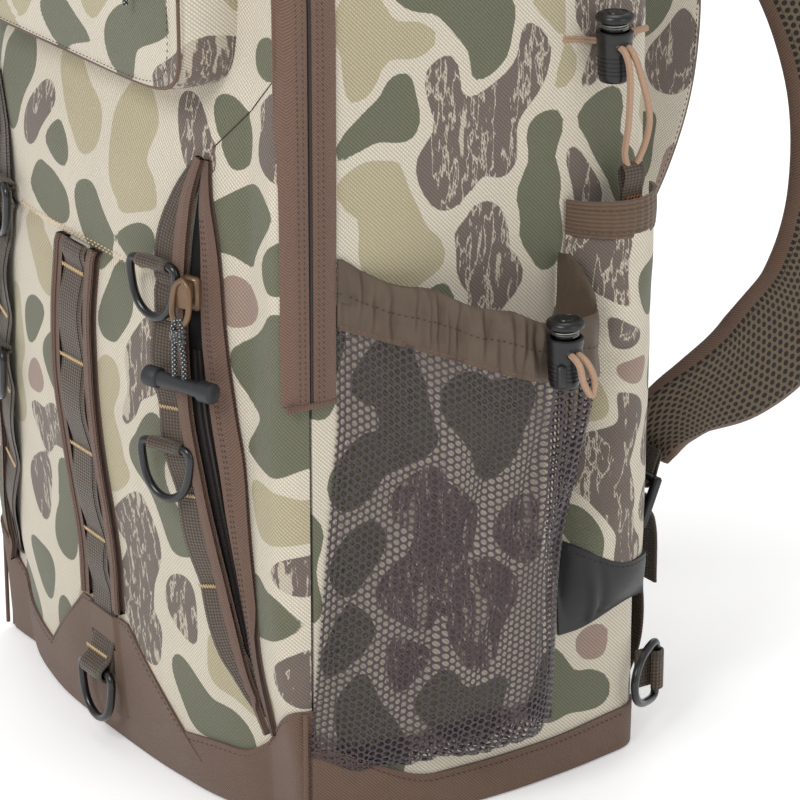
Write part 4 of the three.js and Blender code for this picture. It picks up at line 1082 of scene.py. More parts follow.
def build_boot():
    """The brown bottom: front, sides, back and underside, with topstitching and corner welts."""
    grow = 1.3
    edge = HALF + 0.6 - np.array(EDGE_STEPS)
    x = np.concatenate([-edge, np.linspace(-HALF + 12, HALF - 12, 90), edge[::-1]])
    v = np.linspace(0, 1, 22)
    gx, gv = grid_of(x, v)
    gz = 0.4 + gv * boot_top_front(gx)
    front = front_surface(np.clip(gx, -HALF, HALF), np.maximum(gz, 0.5))
    front[..., 1] -= grow
    front[..., 0] = gx * (1 + grow / HALF)
    front[..., 1] = np.minimum(front[..., 1], PARTING - 1.4)
    flat = np.stack([gx, gz], axis=2)
    raw = cloth(front, 2.0, flat, inner=0)
    y = np.linspace(PARTING - 2.2, BACK - 1, 70)
    gy, gv = grid_of(y, v)
    gz = 0.4 + gv * boot_top_side(gy)
    for sign in (1, -1):
        line = np.stack([np.full_like(gz, sign * HALF), gz], axis=2)
        normal = np.zeros_like(line)
        normal[..., 0] = sign
        side = body_point(line, normal, gy, grow + 0.3)
        raw.join(cloth(side, 2.0, np.stack([gy, gz], axis=2), inner=0))
    xb = np.linspace(-HALF + 13, HALF - 13, 60)
    gx, gv = grid_of(xb, v)
    back = np.stack([gx, np.full_like(gx, BACK + 0.9), 0.4 + gv * 24], axis=2)
    raw.join(cloth(back, 2.0, back[..., [0, 2]], inner=0))
    t = np.linspace(0, 1, 40)
    gx, gt = grid_of(np.linspace(-1, 1, 60), t)
    py = lerp(front_y(gx * HALF, 0.5) - grow, BACK, gt)
    px = gx * (HALF + side_bulge(py, 1.0) + grow - 10 * np.clip((py - BACK + 14) / 14, 0, 1) ** 2
               - 8 * np.clip((PARTING + 6 - py) / 12, 0, 1) ** 2)
    under = np.stack([px, py, np.full_like(px, 0.3)], axis=2)
    raw.join(cloth(under, 2.4, under[..., [0, 1]], away=(0, 0, 100), inner=0))
    make("boot_panels", raw, [BROWN], node="base_boot", slot="brown")
    seams = Raw()
    # topstitching below the boot's upper edge, and the upright seam at each front corner
    for sign in (1, -1):
        fx = sign * np.linspace(67, 143, 50)
        p, n = on_front(np.stack([fx, boot_top_front(fx) - 2.6], axis=1), grow)
        seams.join(stitches(p, n, 3.0, 2.1, 0.6))
        sy = np.linspace(PARTING + 4, BACK - 16, 110)
        line = np.stack([np.full_like(sy, sign * HALF), boot_top_side(sy) - 2.6], axis=1)
        normal = np.tile([sign * 1.0, 0], (len(sy), 1))
        q = body_point(line, normal, sy, grow + 0.4)
        seams.join(stitches(q, np.tile([sign * 1.0, 0, 0], (len(sy), 1)), 3.0, 2.1, 0.6))
    make("boot_stitching", seams, [DARK_THREAD], body="pack", slot="brown")
    welts = Raw()
    for sign in (1, -1):
        z = np.linspace(3, 66, 40)
        corner = np.stack([np.full_like(z, sign * (HALF + 1.2)), np.full_like(z, PARTING - 5.5), z], axis=1)
        corner[:, 0] += sign * 0.8
        welts.join(tube(corner, 1.1, 8))
    make("boot_corner_welts", welts, [BROWN], body="pack", slot="brown")


build_front()
build_shell()
build_boot()


# ---- Strips on the front -----------------------------------------------------------------------------------
def front_strip(rail, width, thick, lift=0.2, count=90, wave=None):
    """A ribbon lying on the front along [x, z] points; width, and lift by height, may change along it."""
    line = spline([[x, 0, z] for x, z in rail], count)[:, [0, 2]]
    s = lengths(line) / lengths(line)[-1]
    heights = np.full(count, float(lift)) if wave is None else lift + wave(line[:, 1])
    p, n = on_front(line, heights)
    along = tangents(p)
    side = unit(np.cross(n, along))
    widths = (np.full(count, float(width)) if np.isscalar(width)
              else np.interp(s, np.linspace(0, 1, len(width)), width))
    section = flat_section(1.0, thick)
    section[:, 0] = (np.sign(section[:, 0])
                     * np.minimum(0.5, np.abs(section[:, 0]) / np.abs(section[:, 0]).max() * 0.5))
    points = (p[:, None] + side[:, None] * section[None, :, :1] * widths[:, None, None]
              + n[:, None] * section[None, :, 1:])
    m = len(section)
    across = section[:, 0] * widths.mean()
    flat = np.stack(grid_of(lengths(p), across), axis=2)[..., ::-1]
    faces = quads(count, m, close_v=True) + [tuple(range(m))[::-1], tuple(range((count - 1) * m, count * m))]
    if np.dot(np.cross(side[0], n[0]), along[0]) > 0:
        faces = [f[::-1] for f in faces]
    return Raw().add(points, [f[::-1] for f in faces], flat), (p, side, n)


TACKS = (250, 204, 158, 112)  # heights where the chains are sewn down


def slack(tacks, rise):
    """Webbing standing off the cloth between its tacks."""
    ordered = np.array(sorted(tacks), float)

    def wave(z):
        lift = np.zeros_like(z)
        for low, high in zip(ordered[:-1], ordered[1:]):
            t = np.clip((z - low) / (high - low), 0, 1)
            lift = np.maximum(lift, rise * np.sin(math.pi * t) ** 1.3)
        return lift
    return wave


def tacks_on(frames, heights, width, lift):
    p, side, n = frames
    out = Raw()
    for z in heights:
        k = int(np.argmin(np.abs(p[:, 2] - z)))
        out.join(bar_tack(p[k] + n[k] * lift, side[k], n[k], width))
    return out


def ring_tube():
    """A D-ring about its bar, which runs along X at the origin; the bow hangs down."""
    half, drop = 14.0, 26.0
    a = np.linspace(0, math.pi, 12)[1:-1]
    bow = [(half * math.cos(t), 0, -9 - (drop - 9) * math.sin(t)) for t in a]
    points = ([(0, 0, 0), (half - 1, 0, 0), (half + 0.8, 0, -2.4)] + bow
              + [(-half - 0.8, 0, -2.4), (-half + 1, 0, 0), (0, 0, 0)])
    path = spline(points, 97)[:-1]
    return tube(path, 2.1, 14, closed=True, ref=Y_AXIS)


def ring_loop():
    """Webbing folded round the bar, its two ends running back to the chain behind it."""
    tail, width = 5.6, 20.0
    a = np.linspace(math.radians(-62), math.radians(-298), 20)
    r = 3.0
    arc = np.stack([0 * a, r * np.cos(a), r * np.sin(a)], axis=1)
    path = np.vstack([[[0, tail, arc[0, 2] * 0.5]], arc, [[0, tail, arc[-1, 2] * 0.5]]])
    return ribbon(spline(path, 46), X_AXIS, flat_section(width, 1.4), -1)


def placed(raw, at, turn_z=0.0, turn_y=0.0, turn_x=0.0):
    """The raw mesh turned about X, then Y, then Z (degrees), and moved."""
    def spin(axis, degrees):
        c, s = math.cos(math.radians(degrees)), math.sin(math.radians(degrees))
        m = np.eye(3)
        i, j = [(1, 2), (2, 0), (0, 1)][axis]
        m[i, i], m[i, j], m[j, i], m[j, j] = c, -s, s, c
        return m
    m = spin(2, turn_z) @ spin(1, turn_y) @ spin(0, turn_x)
    out = Raw()
    out.add(np.vstack(raw.points) @ m.T + np.array(at, float), raw.faces, np.vstack(raw.flat), raw.finish)
    return out


def ring_seat(name):
    """Where a ring's bar is and how it is turned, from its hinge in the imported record."""
    for joint in frame["record"]["behaviour"]["joints"]:
        if joint["child"] == name:
            x, y, _ = joint["axis"]
            return np.array(joint["pos_m"]) / MM, math.degrees(math.atan2(-y, -x))
    raise KeyError(name)


def build_center_chain():
    """The middle webbing, its end folded through the patch's slot and round the ring, and two edge strips."""
    raw, frames = front_strip([(0, SEAM_Z), (0, 200), (0, 130), (0, 60)], 23, 1.7, 0.5, 110,
                              slack(TACKS + (268, 82), 2.6))
    raw.join(tacks_on(frames, TACKS, 21, 2.3), 1)
    at, _ = ring_seat("ring_center")
    out_y = front_point(0.0, 55.0)[1]
    run = [(0, out_y - 1.2, 78), (0, out_y - 1.2, 60), (0, out_y - 3.6, 53), (0, out_y - 5.6, 47),
           (0, at[1] - 3.1, 41.7), (0, at[1] - 2.9, 37.8), (0, at[1], 36.1), (0, at[1] + 3.0, 37.8),
           (0, at[1] + 3.2, 41), (0, out_y - 4.2, 46), (0, out_y - 3.4, 52)]
    raw.join(ribbon(spline(run, 70), X_AXIS, flat_section(21, 1.4, -0.7)))
    for z, lift in ((49.5, 6.9), (43.5, 8.6)):
        raw.join(bar_tack(np.array([0, out_y - lift, z]), X_AXIS, np.array([0, -1.0, 0.0]), 20), 1)
    make("center_chain_webbing", raw, [WEBBING, TAN_THREAD], node="center_chain", slot="webbing", bend=True)
    flanges = Raw()
    for sign in (1, -1):
        rail = [(sign * 15.4, SEAM_Z), (sign * 15.2, 200), (sign * 15.4, 130), (sign * 15.4, 75)]
        strip, _ = front_strip(rail, 8.2, 3.2, 0.0, 90)
        flanges.join(strip)
        lip, _ = front_strip([(x + sign * 1.6, z) for x, z in rail], 4.2, 1.4, 3.0, 90)
        flanges.join(lip)
    make("center_chain_flanges", flanges, [FLAP], slot="brown", bend=True)


def patch_half(z):
    """Half the width of the patch at a height."""
    return lerp(66, 22, np.clip((z - 29) / 43, -0.3, 1))


def patch_sheet(x, z):
    """A piece of the patch, standing off the front and raised over the chain's end."""
    step = 1.9 * (1 - smooth(np.abs(x), 11.5, 15))
    lift = (1.5 + step + 0.3 * np.sin(x / 9))[..., None]
    return cloth(front_surface(x, z) + front_normal(x, z) * lift, 1.2, np.stack([x, z], axis=2), inner=0)


def build_patch():
    """The brown patch, in pieces above, below and beside the slot that the webbing comes through."""
    top, low, slot = 71.0, 17.0, (52.5, 57.0)
    u = np.linspace(-1, 1, 80)
    raw = Raw()
    for z0, z1, rows in ((top, slot[1], 12), (slot[0], low, 26)):
        z = np.linspace(z0, z1, rows)
        gu, gz = grid_of(u, z)
        raw.join(patch_sheet(gu * patch_half(gz), gz))
    for sign in (1, -1):
        z = np.linspace(slot[1] + 0.2, slot[0] - 0.2, 6)
        gu, gz = grid_of(np.linspace(0, 1, 20), z)
        raw.join(patch_sheet(sign * lerp(12.0, patch_half(gz), gu), gz))
    make("chain_patch_panel", raw, [BROWN], node="chain_patch", slot="brown")
    z = np.linspace(low + 12, top - 1.6, 50)
    half = patch_half(z) - 2.0
    left, right = np.stack([-half, z], axis=1), np.stack([half, z], axis=1)
    p, n = on_front(np.vstack([left, right[::-1]]), 1.6)
    make("chain_patch_stitching", stitches(p, n, 3.0, 2.1, 0.55), [DARK_THREAD], body="pack", slot="brown")


def build_side_chains():
    """The webbing chains and the zips beside them; every rail is [x, z] points from the top down."""
    chain = [(96, 322), (86, 304), (79.5, 285), (78.5, 262), (79.5, 235), (82, 203), (88, 171), (96, 129),
             (107.5, 90), (121, 56)]
    tacks = (247, 204, 163, 119)
    raw, frames = front_strip(chain, [10, 17, 21, 21, 21, 21, 21, 21, 19, 10], 1.7, 0.8, 130,
                              slack(tacks + (300, 75), 2.2))
    raw.join(tacks_on(frames, tacks, 18, 2.6), 1)
    for which in ("upper", "lower"):
        at, turn = ring_seat(f"ring_side_{which}_right")
        raw.join(placed(ring_loop(), at, turn))
    both_sides("side_chain_webbing", raw, [WEBBING, TAN_THREAD], node="side_chain", slot="webbing", bend=True)
    left = [(99, 327), (92, 305), (88.2, 285), (87, 262), (89.5, 235), (91.3, 207), (97.3, 175), (104, 133),
            (113.6, 92), (119, 68), (127, 50)]
    gap = [(100, 326), (97, 305), (94.3, 285), (93.6, 262), (95.8, 235), (98, 207), (103.6, 175),
           (109.4, 133), (117.4, 92), (122, 70), (128, 49)]
    right = [(101, 326), (101, 305), (102, 287), (103.4, 262), (106, 235), (108.8, 207), (113, 178),
             (116.5, 135), (121.6, 94), (125, 72), (128.6, 49)]
    zip_raw = Raw()
    # painted shade: a near-black strip between the flaps stands for the shade in the open zip's gap
    gap_shade_strip, _ = front_strip(gap, [2, 6, 9, 11, 12, 12, 11, 8, 4, 2], 0.5, 0.3, 110)
    zip_raw.join(gap_shade_strip, 1)
    flap_left, _ = front_strip(left, [4, 7, 8, 7.6, 6.6, 6, 5.6, 6, 6, 4, 2], 3.0, 3.2, 130)
    flap_right, frames = front_strip(right, [3, 8, 11, 12.5, 13, 13.2, 11.5, 9, 7, 5, 2], 2.6, 0.5, 130)
    zip_raw.join(flap_left).join(flap_right)
    closed = [(x, z) for x, z in gap if z < 262]
    for offset in (-1.6, 1.6):
        coil_line = spline([[x + offset, 0, z] for x, z in closed[:-1]], 400)[:, [0, 2]]
        p, n = on_front(coil_line, 1.0 + 0.35 * np.sin(np.arange(400) * 2.1))
        zip_raw.join(tube(p, 1.05, 6), 2)
    p, side, n = frames
    keep = (p[:, 2] < 300) & (p[:, 2] > 75)
    for share in (0.30, 0.16):
        line = p[keep] + side[keep] * (np.sign(side[keep][:, :1]) * -1) * 11 * share + n[keep] * 2.65
        zip_raw.join(stitches(line, n[keep], 2.6, 1.5, 0.6), 3)
    both_sides("front_zip_flaps", zip_raw, [FLAP, GAP_SHADE, COIL, DARK_THREAD], node="front_zip", slot="zip",
               bend=True)


def build_rings():
    """Every D-ring, hung on its hinge, and the folded webbing that holds the corner rings."""
    for side, sign in (("right", 1), ("left", -1)):
        for which in ("upper", "lower"):
            at, turn = ring_seat(f"ring_side_{which}_{side}")
            make(f"d_ring_{which}_{side}", placed(ring_tube(), at, turn), [RING],
                 node=f"ring_side_{which}_{side}", slot="ring")
        at, _ = ring_seat(f"ring_corner_{side}")
        bow = placed(placed(ring_tube(), (0, 0, 0), turn_y=90), at, 120 if sign > 0 else 60)
        make(f"d_ring_corner_{side}", bow, [RING], node=f"ring_corner_{side}", slot="ring")
        a = np.linspace(math.radians(-10), math.radians(250), 26)
        arc = np.stack([-sign * 3.4 * np.cos(a), 3.4 * np.sin(a), 0 * a], axis=1)
        run = np.vstack([[(-sign * 3.4, -10, 0), (-sign * 3.4, -5, 0)], arc])
        tab = ribbon(spline(run, 50) + at, UP, flat_section(21, 1.5, -0.75), -1)
        make(f"corner_ring_webbing_{side}", tab, [WEBBING], node=f"corner_ring_tab_{side}", slot="webbing")
    at, turn = ring_seat("ring_center")
    make("d_ring_center", placed(ring_tube(), at, turn), [RING], node="ring_center", slot="ring")


# ---- Main zip ----------------------------------------------------------------------------------------------
def build_main_zip():
    """The zip over the top: a rear tape on the body, a front tape on the door, the coil and the end bars."""
    line, normal = outline(90, 34, 24, HINGE_Z)
    w = np.array([0, 0.5, 1.5, 3, 5, 7, 9, 10.6, 11.6, 12.2])
    puff = 1.1 + 0.7 * np.sin(np.clip(w / 12.2, 0, 1) * math.pi) ** 0.6
    along = lengths(line)
    rear = body_point(line[:, None], normal[:, None], PARTING + 0.9 + w[None, :], puff[None, :])
    flat = np.stack(np.broadcast_arrays(w[None, :], along[:, None]), axis=2)
    raw = cloth(rear, 1.3, flat, inner=0)
    rows = Raw()
    for at in (2.6, 5.2):
        q = body_point(line, normal, PARTING + 0.9 + at, 1.95)
        rows.join(stitches(q, np.stack([normal[:, 0], 0 * along, normal[:, 1]], axis=1), 2.6, 1.5, 0.6))
    raw.join(rows, 1)
    make("main_zip_rear_flap", raw, [TAPE, DARK_THREAD], node="main_zip_rear_tape", slot="zip")
    x, z = line[:, 0], line[:, 1]
    inner_x = np.sign(x) * np.minimum(np.abs(x), 140)
    depth = np.maximum(PARTING - 0.8 - front_y(inner_x, np.minimum(z, TOP - 6)), 6)

    def front_tape(at, grow):
        share = np.clip(at / depth, 0, 0.985)
        inset = FRONT_ROUNDING * (1 - np.sqrt(1 - share ** 2))
        out = grow - inset
        return np.stack([x + normal[:, 0] * out, PARTING - 0.9 - at + 0 * x, z + normal[:, 1] * out], axis=1)

    front = np.stack([front_tape(a, g + 0.1) for a, g in zip(w, puff)], axis=1)
    raw = cloth(front, 1.3, flat, inner=0)
    rows = Raw()
    out_dir = np.stack([normal[:, 0], 0 * x, normal[:, 1]], axis=1)
    for at in (2.6, 5.2):
        rows.join(stitches(front_tape(at, 2.0), out_dir, 2.6, 1.5, 0.6))
    raw.join(rows, 1)
    make("main_zip_front_flap", raw, [TAPE, DARK_THREAD], node="main_zip_front_tape", slot="zip", bend=True)
    dark = body_point(line, normal, PARTING + 0.2, 0.7)
    make("main_zip_coil", tube(even(dark, 300), 0.9, 8), [COIL], body="pack", slot="zip")
    ends = Raw()
    for sign in (1, -1):
        ends.join(block((sign * HALF - 1.4 + sign * 1.2, PARTING - 13.4, HINGE_Z - 2.2),
                        (sign * HALF + 1.4 + sign * 1.2, PARTING + 13.4, HINGE_Z + 0.6), 0.6))
    make("main_zip_end_bars", ends, [BROWN], body="pack", slot="zip")


# ---- Sliders -----------------------------------------------------------------------------------------------
def along_x(raw):
    return placed(raw, (0, 0, 0), turn_y=90)


def build_front_sliders():
    """Slider, tear-shaped pull, two cords with their knots, and a cross bar."""
    at = front_point(94.0, SEAM_Z)
    slope = front_point(100.0, SEAM_Z) - front_point(88.0, SEAM_Z)
    turn = math.degrees(math.atan2(slope[1], slope[0]))
    body = Raw()
    body.join(block((-5.2, -6.2, -7), (5.2, -2.4, 9), 1.2))
    body.join(block((-3.4, -9.5, -1), (3.4, -5.8, 7), 1.0))
    tear = [(0, -10.2, 8.5), (3.6, -10.6, 5.5), (5.0, -11.4, -2), (4.4, -12.2, -8.5), (2.0, -12.6, -12),
            (-2.0, -12.6, -12), (-4.4, -12.2, -8.5), (-5.0, -11.4, -2), (-3.6, -10.6, 5.5), (0, -10.2, 8.5)]
    body.join(tube(spline(tear, 61)[:-1], 1.5, 10, closed=True, ref=Y_AXIS))
    shield = [(x * 0.75, z) for x, z in ((0, 8), (4.5, 5), (6, -1), (5.4, -5))]
    pts = np.array([(x, -10.6, z) for x, z in shield] + [(-x, -10.6, z) for x, z in shield[::-1][:-1]])
    body.add(np.vstack([pts, pts + [0, 1.2, 0]]), [tuple(range(7))[::-1], tuple(range(7, 14))]
             + [(i, (i + 1) % 7, (i + 1) % 7 + 7, i + 7) for i in range(7)])
    cords = Raw()
    for sign in (-1, 1):
        run = [(sign * 1.0, -12.6, -9.5), (sign * 2.2, -14.2, -13), (sign * 1.7, -14.4, -18),
               (sign * 2.6, -13.6, -27), (sign * 3.0, -13.2, -38)]
        cords.join(tube(spline(run, 40), 1.35, 10))
    for k in range(3):
        a = np.linspace(0, 2 * math.pi, 25)[:-1]
        ring = np.stack([3.3 * np.cos(a), -14.2 + 2.1 * np.sin(a), -15.4 - k * 1.9 + 0.9 * np.cos(a + k)],
                        axis=1)
        cords.join(tube(ring, 1.05, 8, closed=True))
    bar_profile = [(0, -21), (3.6, -21), (4.9, -20.2), (5.0, -13.4), (4.4, -12.6), (3.7, -12.4), (3.5, 0),
                   (3.7, 12.4), (4.4, 12.6), (5.0, 13.4), (4.9, 20.2), (3.6, 21), (0, 21)]
    bar = placed(along_x(turned(bar_profile, 28)), (0, -13, -41))
    raw = Raw().join(body).join(cords, 1).join(bar, 2)
    both_sides("front_zip_pull", placed(raw, at, turn), [BRONZE, BLACK_CORD, GREY], node="front_zip_slider",
               slot="plastic")


def build_main_sliders():
    """Slider, ring and a short knotted cord, on the straight part of the main zip."""
    z = TOP + 1.9
    raw = block((3, PARTING - 5.2, z - 0.2), (16, PARTING + 5.2, z + 2.6), 1.1)
    raw.join(block((6, PARTING - 2.2, z + 2.2), (13, PARTING + 2.2, z + 3.8), 0.7))
    loop = [(9, 0, 3.4), (13, 3.4, 3.6), (20, 4.4, 3.4), (24, 3.2, 3.2), (25, 0, 3.1), (24, -3.2, 3.2),
            (20, -4.4, 3.4), (13, -3.4, 3.6), (9, 0, 3.4)]
    raw.join(tube(spline(np.array(loop) + [0, PARTING, z], 49)[:-1], 1.1, 8, closed=True))
    cord = Raw()
    for sign in (-1, 1):
        run = np.array([(23, sign * 1.6, 3.4), (29, sign * 1.8, 3.6), (36, sign * 1.5, 3.2)])
        cord.join(tube(spline(run + [0, PARTING, z], 20), 1.3, 8))
    knot = turned([(0, -3), (2.2, -3), (2.7, -2), (2.7, 2), (2.2, 3), (0, 3)], 16)
    cord.join(placed(along_x(knot), (37, PARTING, z + 3.3)))
    both_sides("main_zip_pull", Raw().join(raw).join(cord, 1), [BRONZE, BLACK_CORD], node="main_zip_slider",
               slot="plastic")


build_center_chain()
build_patch()
build_side_chains()
build_rings()
build_main_zip()
build_front_sliders()
build_main_sliders()


# ---- Upper front pocket ------------------------------------------------------------------------------------
POCKET_FRONT = -136.5
POCKET_MIDDLE = 405.5
POCKET_HALF = (109.0, 48.5)


def squared(c, half):
    """A circle's coordinate c pushed out towards a square of that half width, with round corners."""
    return half * np.sign(c) * np.abs(c) ** 0.28


def build_upper_pocket():
    t = np.linspace(0, 2 * math.pi, 161)[:-1]
    z = POCKET_MIDDLE + squared(np.sin(t), POCKET_HALF[1])
    x = squared(np.cos(t), POCKET_HALF[0]) * (1 - 0.06 * smooth(z, 400, 454))
    rim = np.stack([x, z], axis=1)
    centre = np.array([0, POCKET_MIDDLE])
    outward = unit(np.roll(rim, -1, axis=0) - np.roll(rim, 1, axis=0))[:, ::-1] * [1, -1]
    # the side wall from its root on the door, then the crowned front face closing on its middle
    rings, flats = [], []
    root = front_surface(x, z)[:, 1] + 1.5
    for share, inset in ((0, -0.6), (0.25, -0.9), (0.55, -0.9), (0.8, -0.4), (0.9, 0.6), (0.955, -0.2),
                         (0.985, 0.1), (1.0, 1.6)):
        ring = rim - outward * inset
        depth = lerp(root, POCKET_FRONT, share) + 0.5 * np.sin(t * 9 + share * 4) * (share < 0.8)
        rings.append(np.stack([ring[:, 0], depth, ring[:, 1]], axis=1))
        flats.append(rim + outward * (1 - share) * 26)
    for k in np.linspace(0.98, 0.02, 26):
        ring = centre + (rim - centre) * k
        crown = 3.4 * (1 - k ** 4) + 0.5 * ripple(ring[:, 0], ring[:, 1]) * (1 - k ** 8)
        groove_line = 1.2 * np.exp(-((k - 0.955) / 0.015) ** 2)
        rings.append(np.stack([ring[:, 0], POCKET_FRONT - crown + groove_line, ring[:, 1]], axis=1))
        flats.append(ring)
    grid, flat = np.array(rings), np.array(flats)
    nu, nv = grid.shape[:2]
    faces = [f[::-1] for f in quads(nu, nv, close_v=True)]
    cap = tuple((nu - 1) * nv + i for i in range(nv))
    raw = Raw().add(grid.reshape(-1, 3), faces + [cap[::-1]], flat.reshape(-1, 2))
    seeds = scatter((-140, 325), (140, 500), 13, [
        (OLIVE, [(64, 374), (84, 392), (96, 430)]), (KHAKI, [(40, 400)]), (OLIVE, [(20, 366), (-4, 372)]),
        (BARK, [(10, 420)]), (KHAKI, [(-30, 380)])])
    make("upper_pocket_camo", raw, [CAMO], node="upper_pocket", slot="camo", camo=(seeds, 9))
    seam = Raw()
    line = centre + (rim - centre) * 0.935
    path = np.stack([line[:, 0], np.full(len(t), POCKET_FRONT - 1.5), line[:, 1]], axis=1)
    seam.join(stitches(np.vstack([path, path[:1]]), np.tile([0, -1.0, 0], (len(t) + 1, 1)), 3.2, 2.3, 0.6,
                       0.2))
    welt = rim - outward * 0.8
    path = np.stack([welt[:, 0], np.full(len(t), POCKET_FRONT + 0.6), welt[:, 1]], axis=1)
    seam.join(tube(even(np.vstack([path, path[:1]]), 220)[:-1], 1.0, 8, closed=True, ref=Y_AXIS), 1)
    make("upper_pocket_seam", seam, [DARK_THREAD, BROWN], body="front_door", slot="camo")
    zipper = Raw()
    u = np.linspace(-95, 95, 90)
    for low, high in ((413.5, 420.4), (421.6, 428.5)):
        v = np.linspace(low, high, 6)
        gx, gz = grid_of(u, v)
        lift = 3.6 + 1.2 * np.sin(math.pi * (gz - low) / (high - low)) ** 0.7
        sheet = np.stack([gx, POCKET_FRONT - lift, gz], axis=2)
        zipper.join(cloth(sheet, 1.0, np.stack([gz, gx], axis=2), inner=0))
    coil = np.stack([u, np.full_like(u, POCKET_FRONT - 3.6), np.full_like(u, 421.0)], axis=1)
    zipper.join(tube(even(coil, 200), 1.3, 8), 1)
    zipper.join(block((80, POCKET_FRONT - 7, 417.6), (90, POCKET_FRONT - 3.6, 424.4), 1.0), 2)
    zipper.join(tube(spline([(84, -144.2, 419), (78, -144.6, 410), (76, -144.4, 396)], 30), 1.3, 8), 3)
    make("upper_pocket_zip_tape", zipper, [TAPE, COIL, BRONZE, BLACK_CORD], node="upper_pocket_zip",
         slot="zip")


# ---- Side pockets ------------------------------------------------------------------------------------------
def beside(out, y, z):
    """A place beside the body on the right, never inside its skin."""
    return np.stack([SIDE + np.maximum(out, side_bulge(y, z) + 1.3), y + 0 * out, z + 0 * out], axis=-1)


MESH_BELLY = 37  # how far the mesh pocket stands out from the body
MESH_LOW = 42  # the height where its lower edge meets the front corner
SLEEVE_BELLY = 22
SLEEVE_SLIM = 0.72  # the sleeve's lower end as a share of its mouth


def pocket_belly(u):
    return MESH_BELLY * np.maximum(np.sin(math.pi * np.clip(u, 0, 1) ** 2.2), 0) ** 0.6


def pocket_top(u):
    return lerp(254, 210, u)


def pocket_flop(u, v):
    """How far the pocket's back corner sags backwards, mostly near its mouth."""
    return 21 * np.exp(-((u - 0.87) / 0.09) ** 2) * smooth(v, 0.35, 1.0)


def build_mesh_pocket():
    """The net: a section from under the belly up to the mouth, carried round with folds and gathers."""
    rows = spline([(0, 0, 44), (9, 0, 35.5), (21, 0, 32.5), (31, 0, 40), (35.8, 0, 62), (37.2, 0, 104),
                   (36.2, 0, 160), (37, 0, 232)], 96)
    u = np.linspace(0, 1, 120)
    gu, k = grid_of(u, np.arange(len(rows)))
    share, z0 = rows[k, 0] / MESH_BELLY, rows[k, 2]
    z = np.where(z0 < 66, z0, 66 + (z0 - 66) * (pocket_top(gu) - 66) / 166)
    v = np.clip((z - MESH_LOW) / (pocket_top(gu) - MESH_LOW), 0, 1)
    y = lerp(lerp(-97, -80.5, np.minimum(1, v * 1.3)), 37, gu) + pocket_flop(gu, v)
    out = pocket_belly(gu) * share
    middle = np.sin(math.pi * gu) ** 0.7
    out = (out + middle * 1.9 * np.sin(19 * gu + 4.2 * np.sin(3.3 * v + 1)) * (1 - smooth(v, 0.35, 0.95))
           * smooth(v, 0.0, 0.12))
    out = out + middle * 1.2 * np.sin(97 * gu + 3 * np.sin(11 * gu)) * np.exp(-np.maximum(z - 36, 0) / 16)
    for at, slope, size, wide in ((0.80, 0.30, 3.4, 0.030), (0.66, 0.36, 2.4, 0.034),
                                  (0.90, 0.12, 2.6, 0.022)):
        out = (out - size * np.exp(-((gu - at + slope * (1 - v)) / wide) ** 2) * smooth(v, 0.05, 0.3)
               * (1 - smooth(v, 0.75, 1)))
    z = z + 11 * (1 - smooth(gu, 0, 0.22)) * (1 - smooth(v, 0, 0.3))
    z = z - 2.2 * np.abs(np.sin(13 * gu)) * np.exp(-np.maximum(z0 - 32, 0) / 9)
    grid = beside(out, y, z)
    pieces = both_sides("mesh_pocket_net", cloth(grid, 0.5, inner=0), [NET], node="mesh_pocket", slot="mesh")


def collar_shape(u, share, offset):
    """The collar at u round the pocket's mouth and share of its height; offset is out from its middle."""
    low = pocket_top(u) - 2.0
    top = pocket_top(u) + 28 + 30 * smooth(u, 0.86, 0.985) + 4 * smooth(u, 0.1, 0.0) + 1.3 * np.sin(23 * u)
    z = lerp(low, top, share)
    y = lerp(-80.5, 38.5, u) + pocket_flop(u, 1.0)
    gather = (1.2 * np.sin(58 * u + 3.1 * np.sin(9 * u) + 1.9 * share)
              + 1.0 * np.sin(93 * u + 1.4 + 2.6 * np.sin(6 * u) - 1.4 * share))
    gather = gather + 0.7 * np.sin(151 * u + 2 * np.sin(17 * u))
    gather = (gather * (0.35 + 0.65 * np.sin(math.pi * np.clip(share, 0, 1)) ** 0.8)
              * np.sin(math.pi * np.clip(u, 0, 1)) ** 0.4)
    crumple = 0.9 * np.sin(41 * u + 7 * share) * np.sin(2.6 * share + 5 * u)
    sag = 3.2 * np.sin(math.pi * np.clip((u - 0.86) / 0.14, 0, 1))
    return pocket_belly(u) + gather + crumple * smooth(u, 0, 0.06) + offset - sag * share, y, z


def build_collar():
    """The pocket's collar; rows are (share of its height, offset), up the outside and down the inside."""
    rows = [(0, 0.9), (0.08, 1.3), (0.2, 1.5), (0.32, 1.4), (0.45, 1.7), (0.58, 1.8), (0.7, 2.0), (0.82, 2.1),
            (0.92, 1.8), (0.98, 1.0), (1.0, -0.2), (0.98, -1.4), (0.9, -2.0), (0.75, -2.1), (0.55, -1.8),
            (0.4, -1.6)]
    u = np.linspace(0, 1, 260)
    share, offset = np.array(rows).T
    gu, gs = grid_of(u, share)
    out, y, z = collar_shape(gu, gs, offset[None, :])
    grid = beside(out, y, z)
    pieces = both_sides("collar_taffeta", cloth(grid, 0.6, inner=0), [TAFFETA], node="mesh_collar",
                        slot="taffeta")
    thread = Raw()
    for at, finish in ((0.07, 1), (0.52, 0)):
        line = beside(*collar_shape(np.linspace(0.01, 0.985, 200), np.full(200, at), 2.2))
        thread.join(stitches(line, np.tile([1.0, 0, 0], (200, 1)), 3.0, 2.0, 0.55, 0.1), finish)
    upright = beside(*collar_shape(np.full(30, 0.80), np.linspace(0.1, 0.9, 30), 2.9))
    thread.join(stitches(upright, np.tile([1.0, 0, 0], (30, 1)), 3.0, 2.2, 0.7, 0.2), 1)
    both_sides("collar_stitching", thread, [DARK_THREAD, RUST_THREAD], body="pack", slot="taffeta")


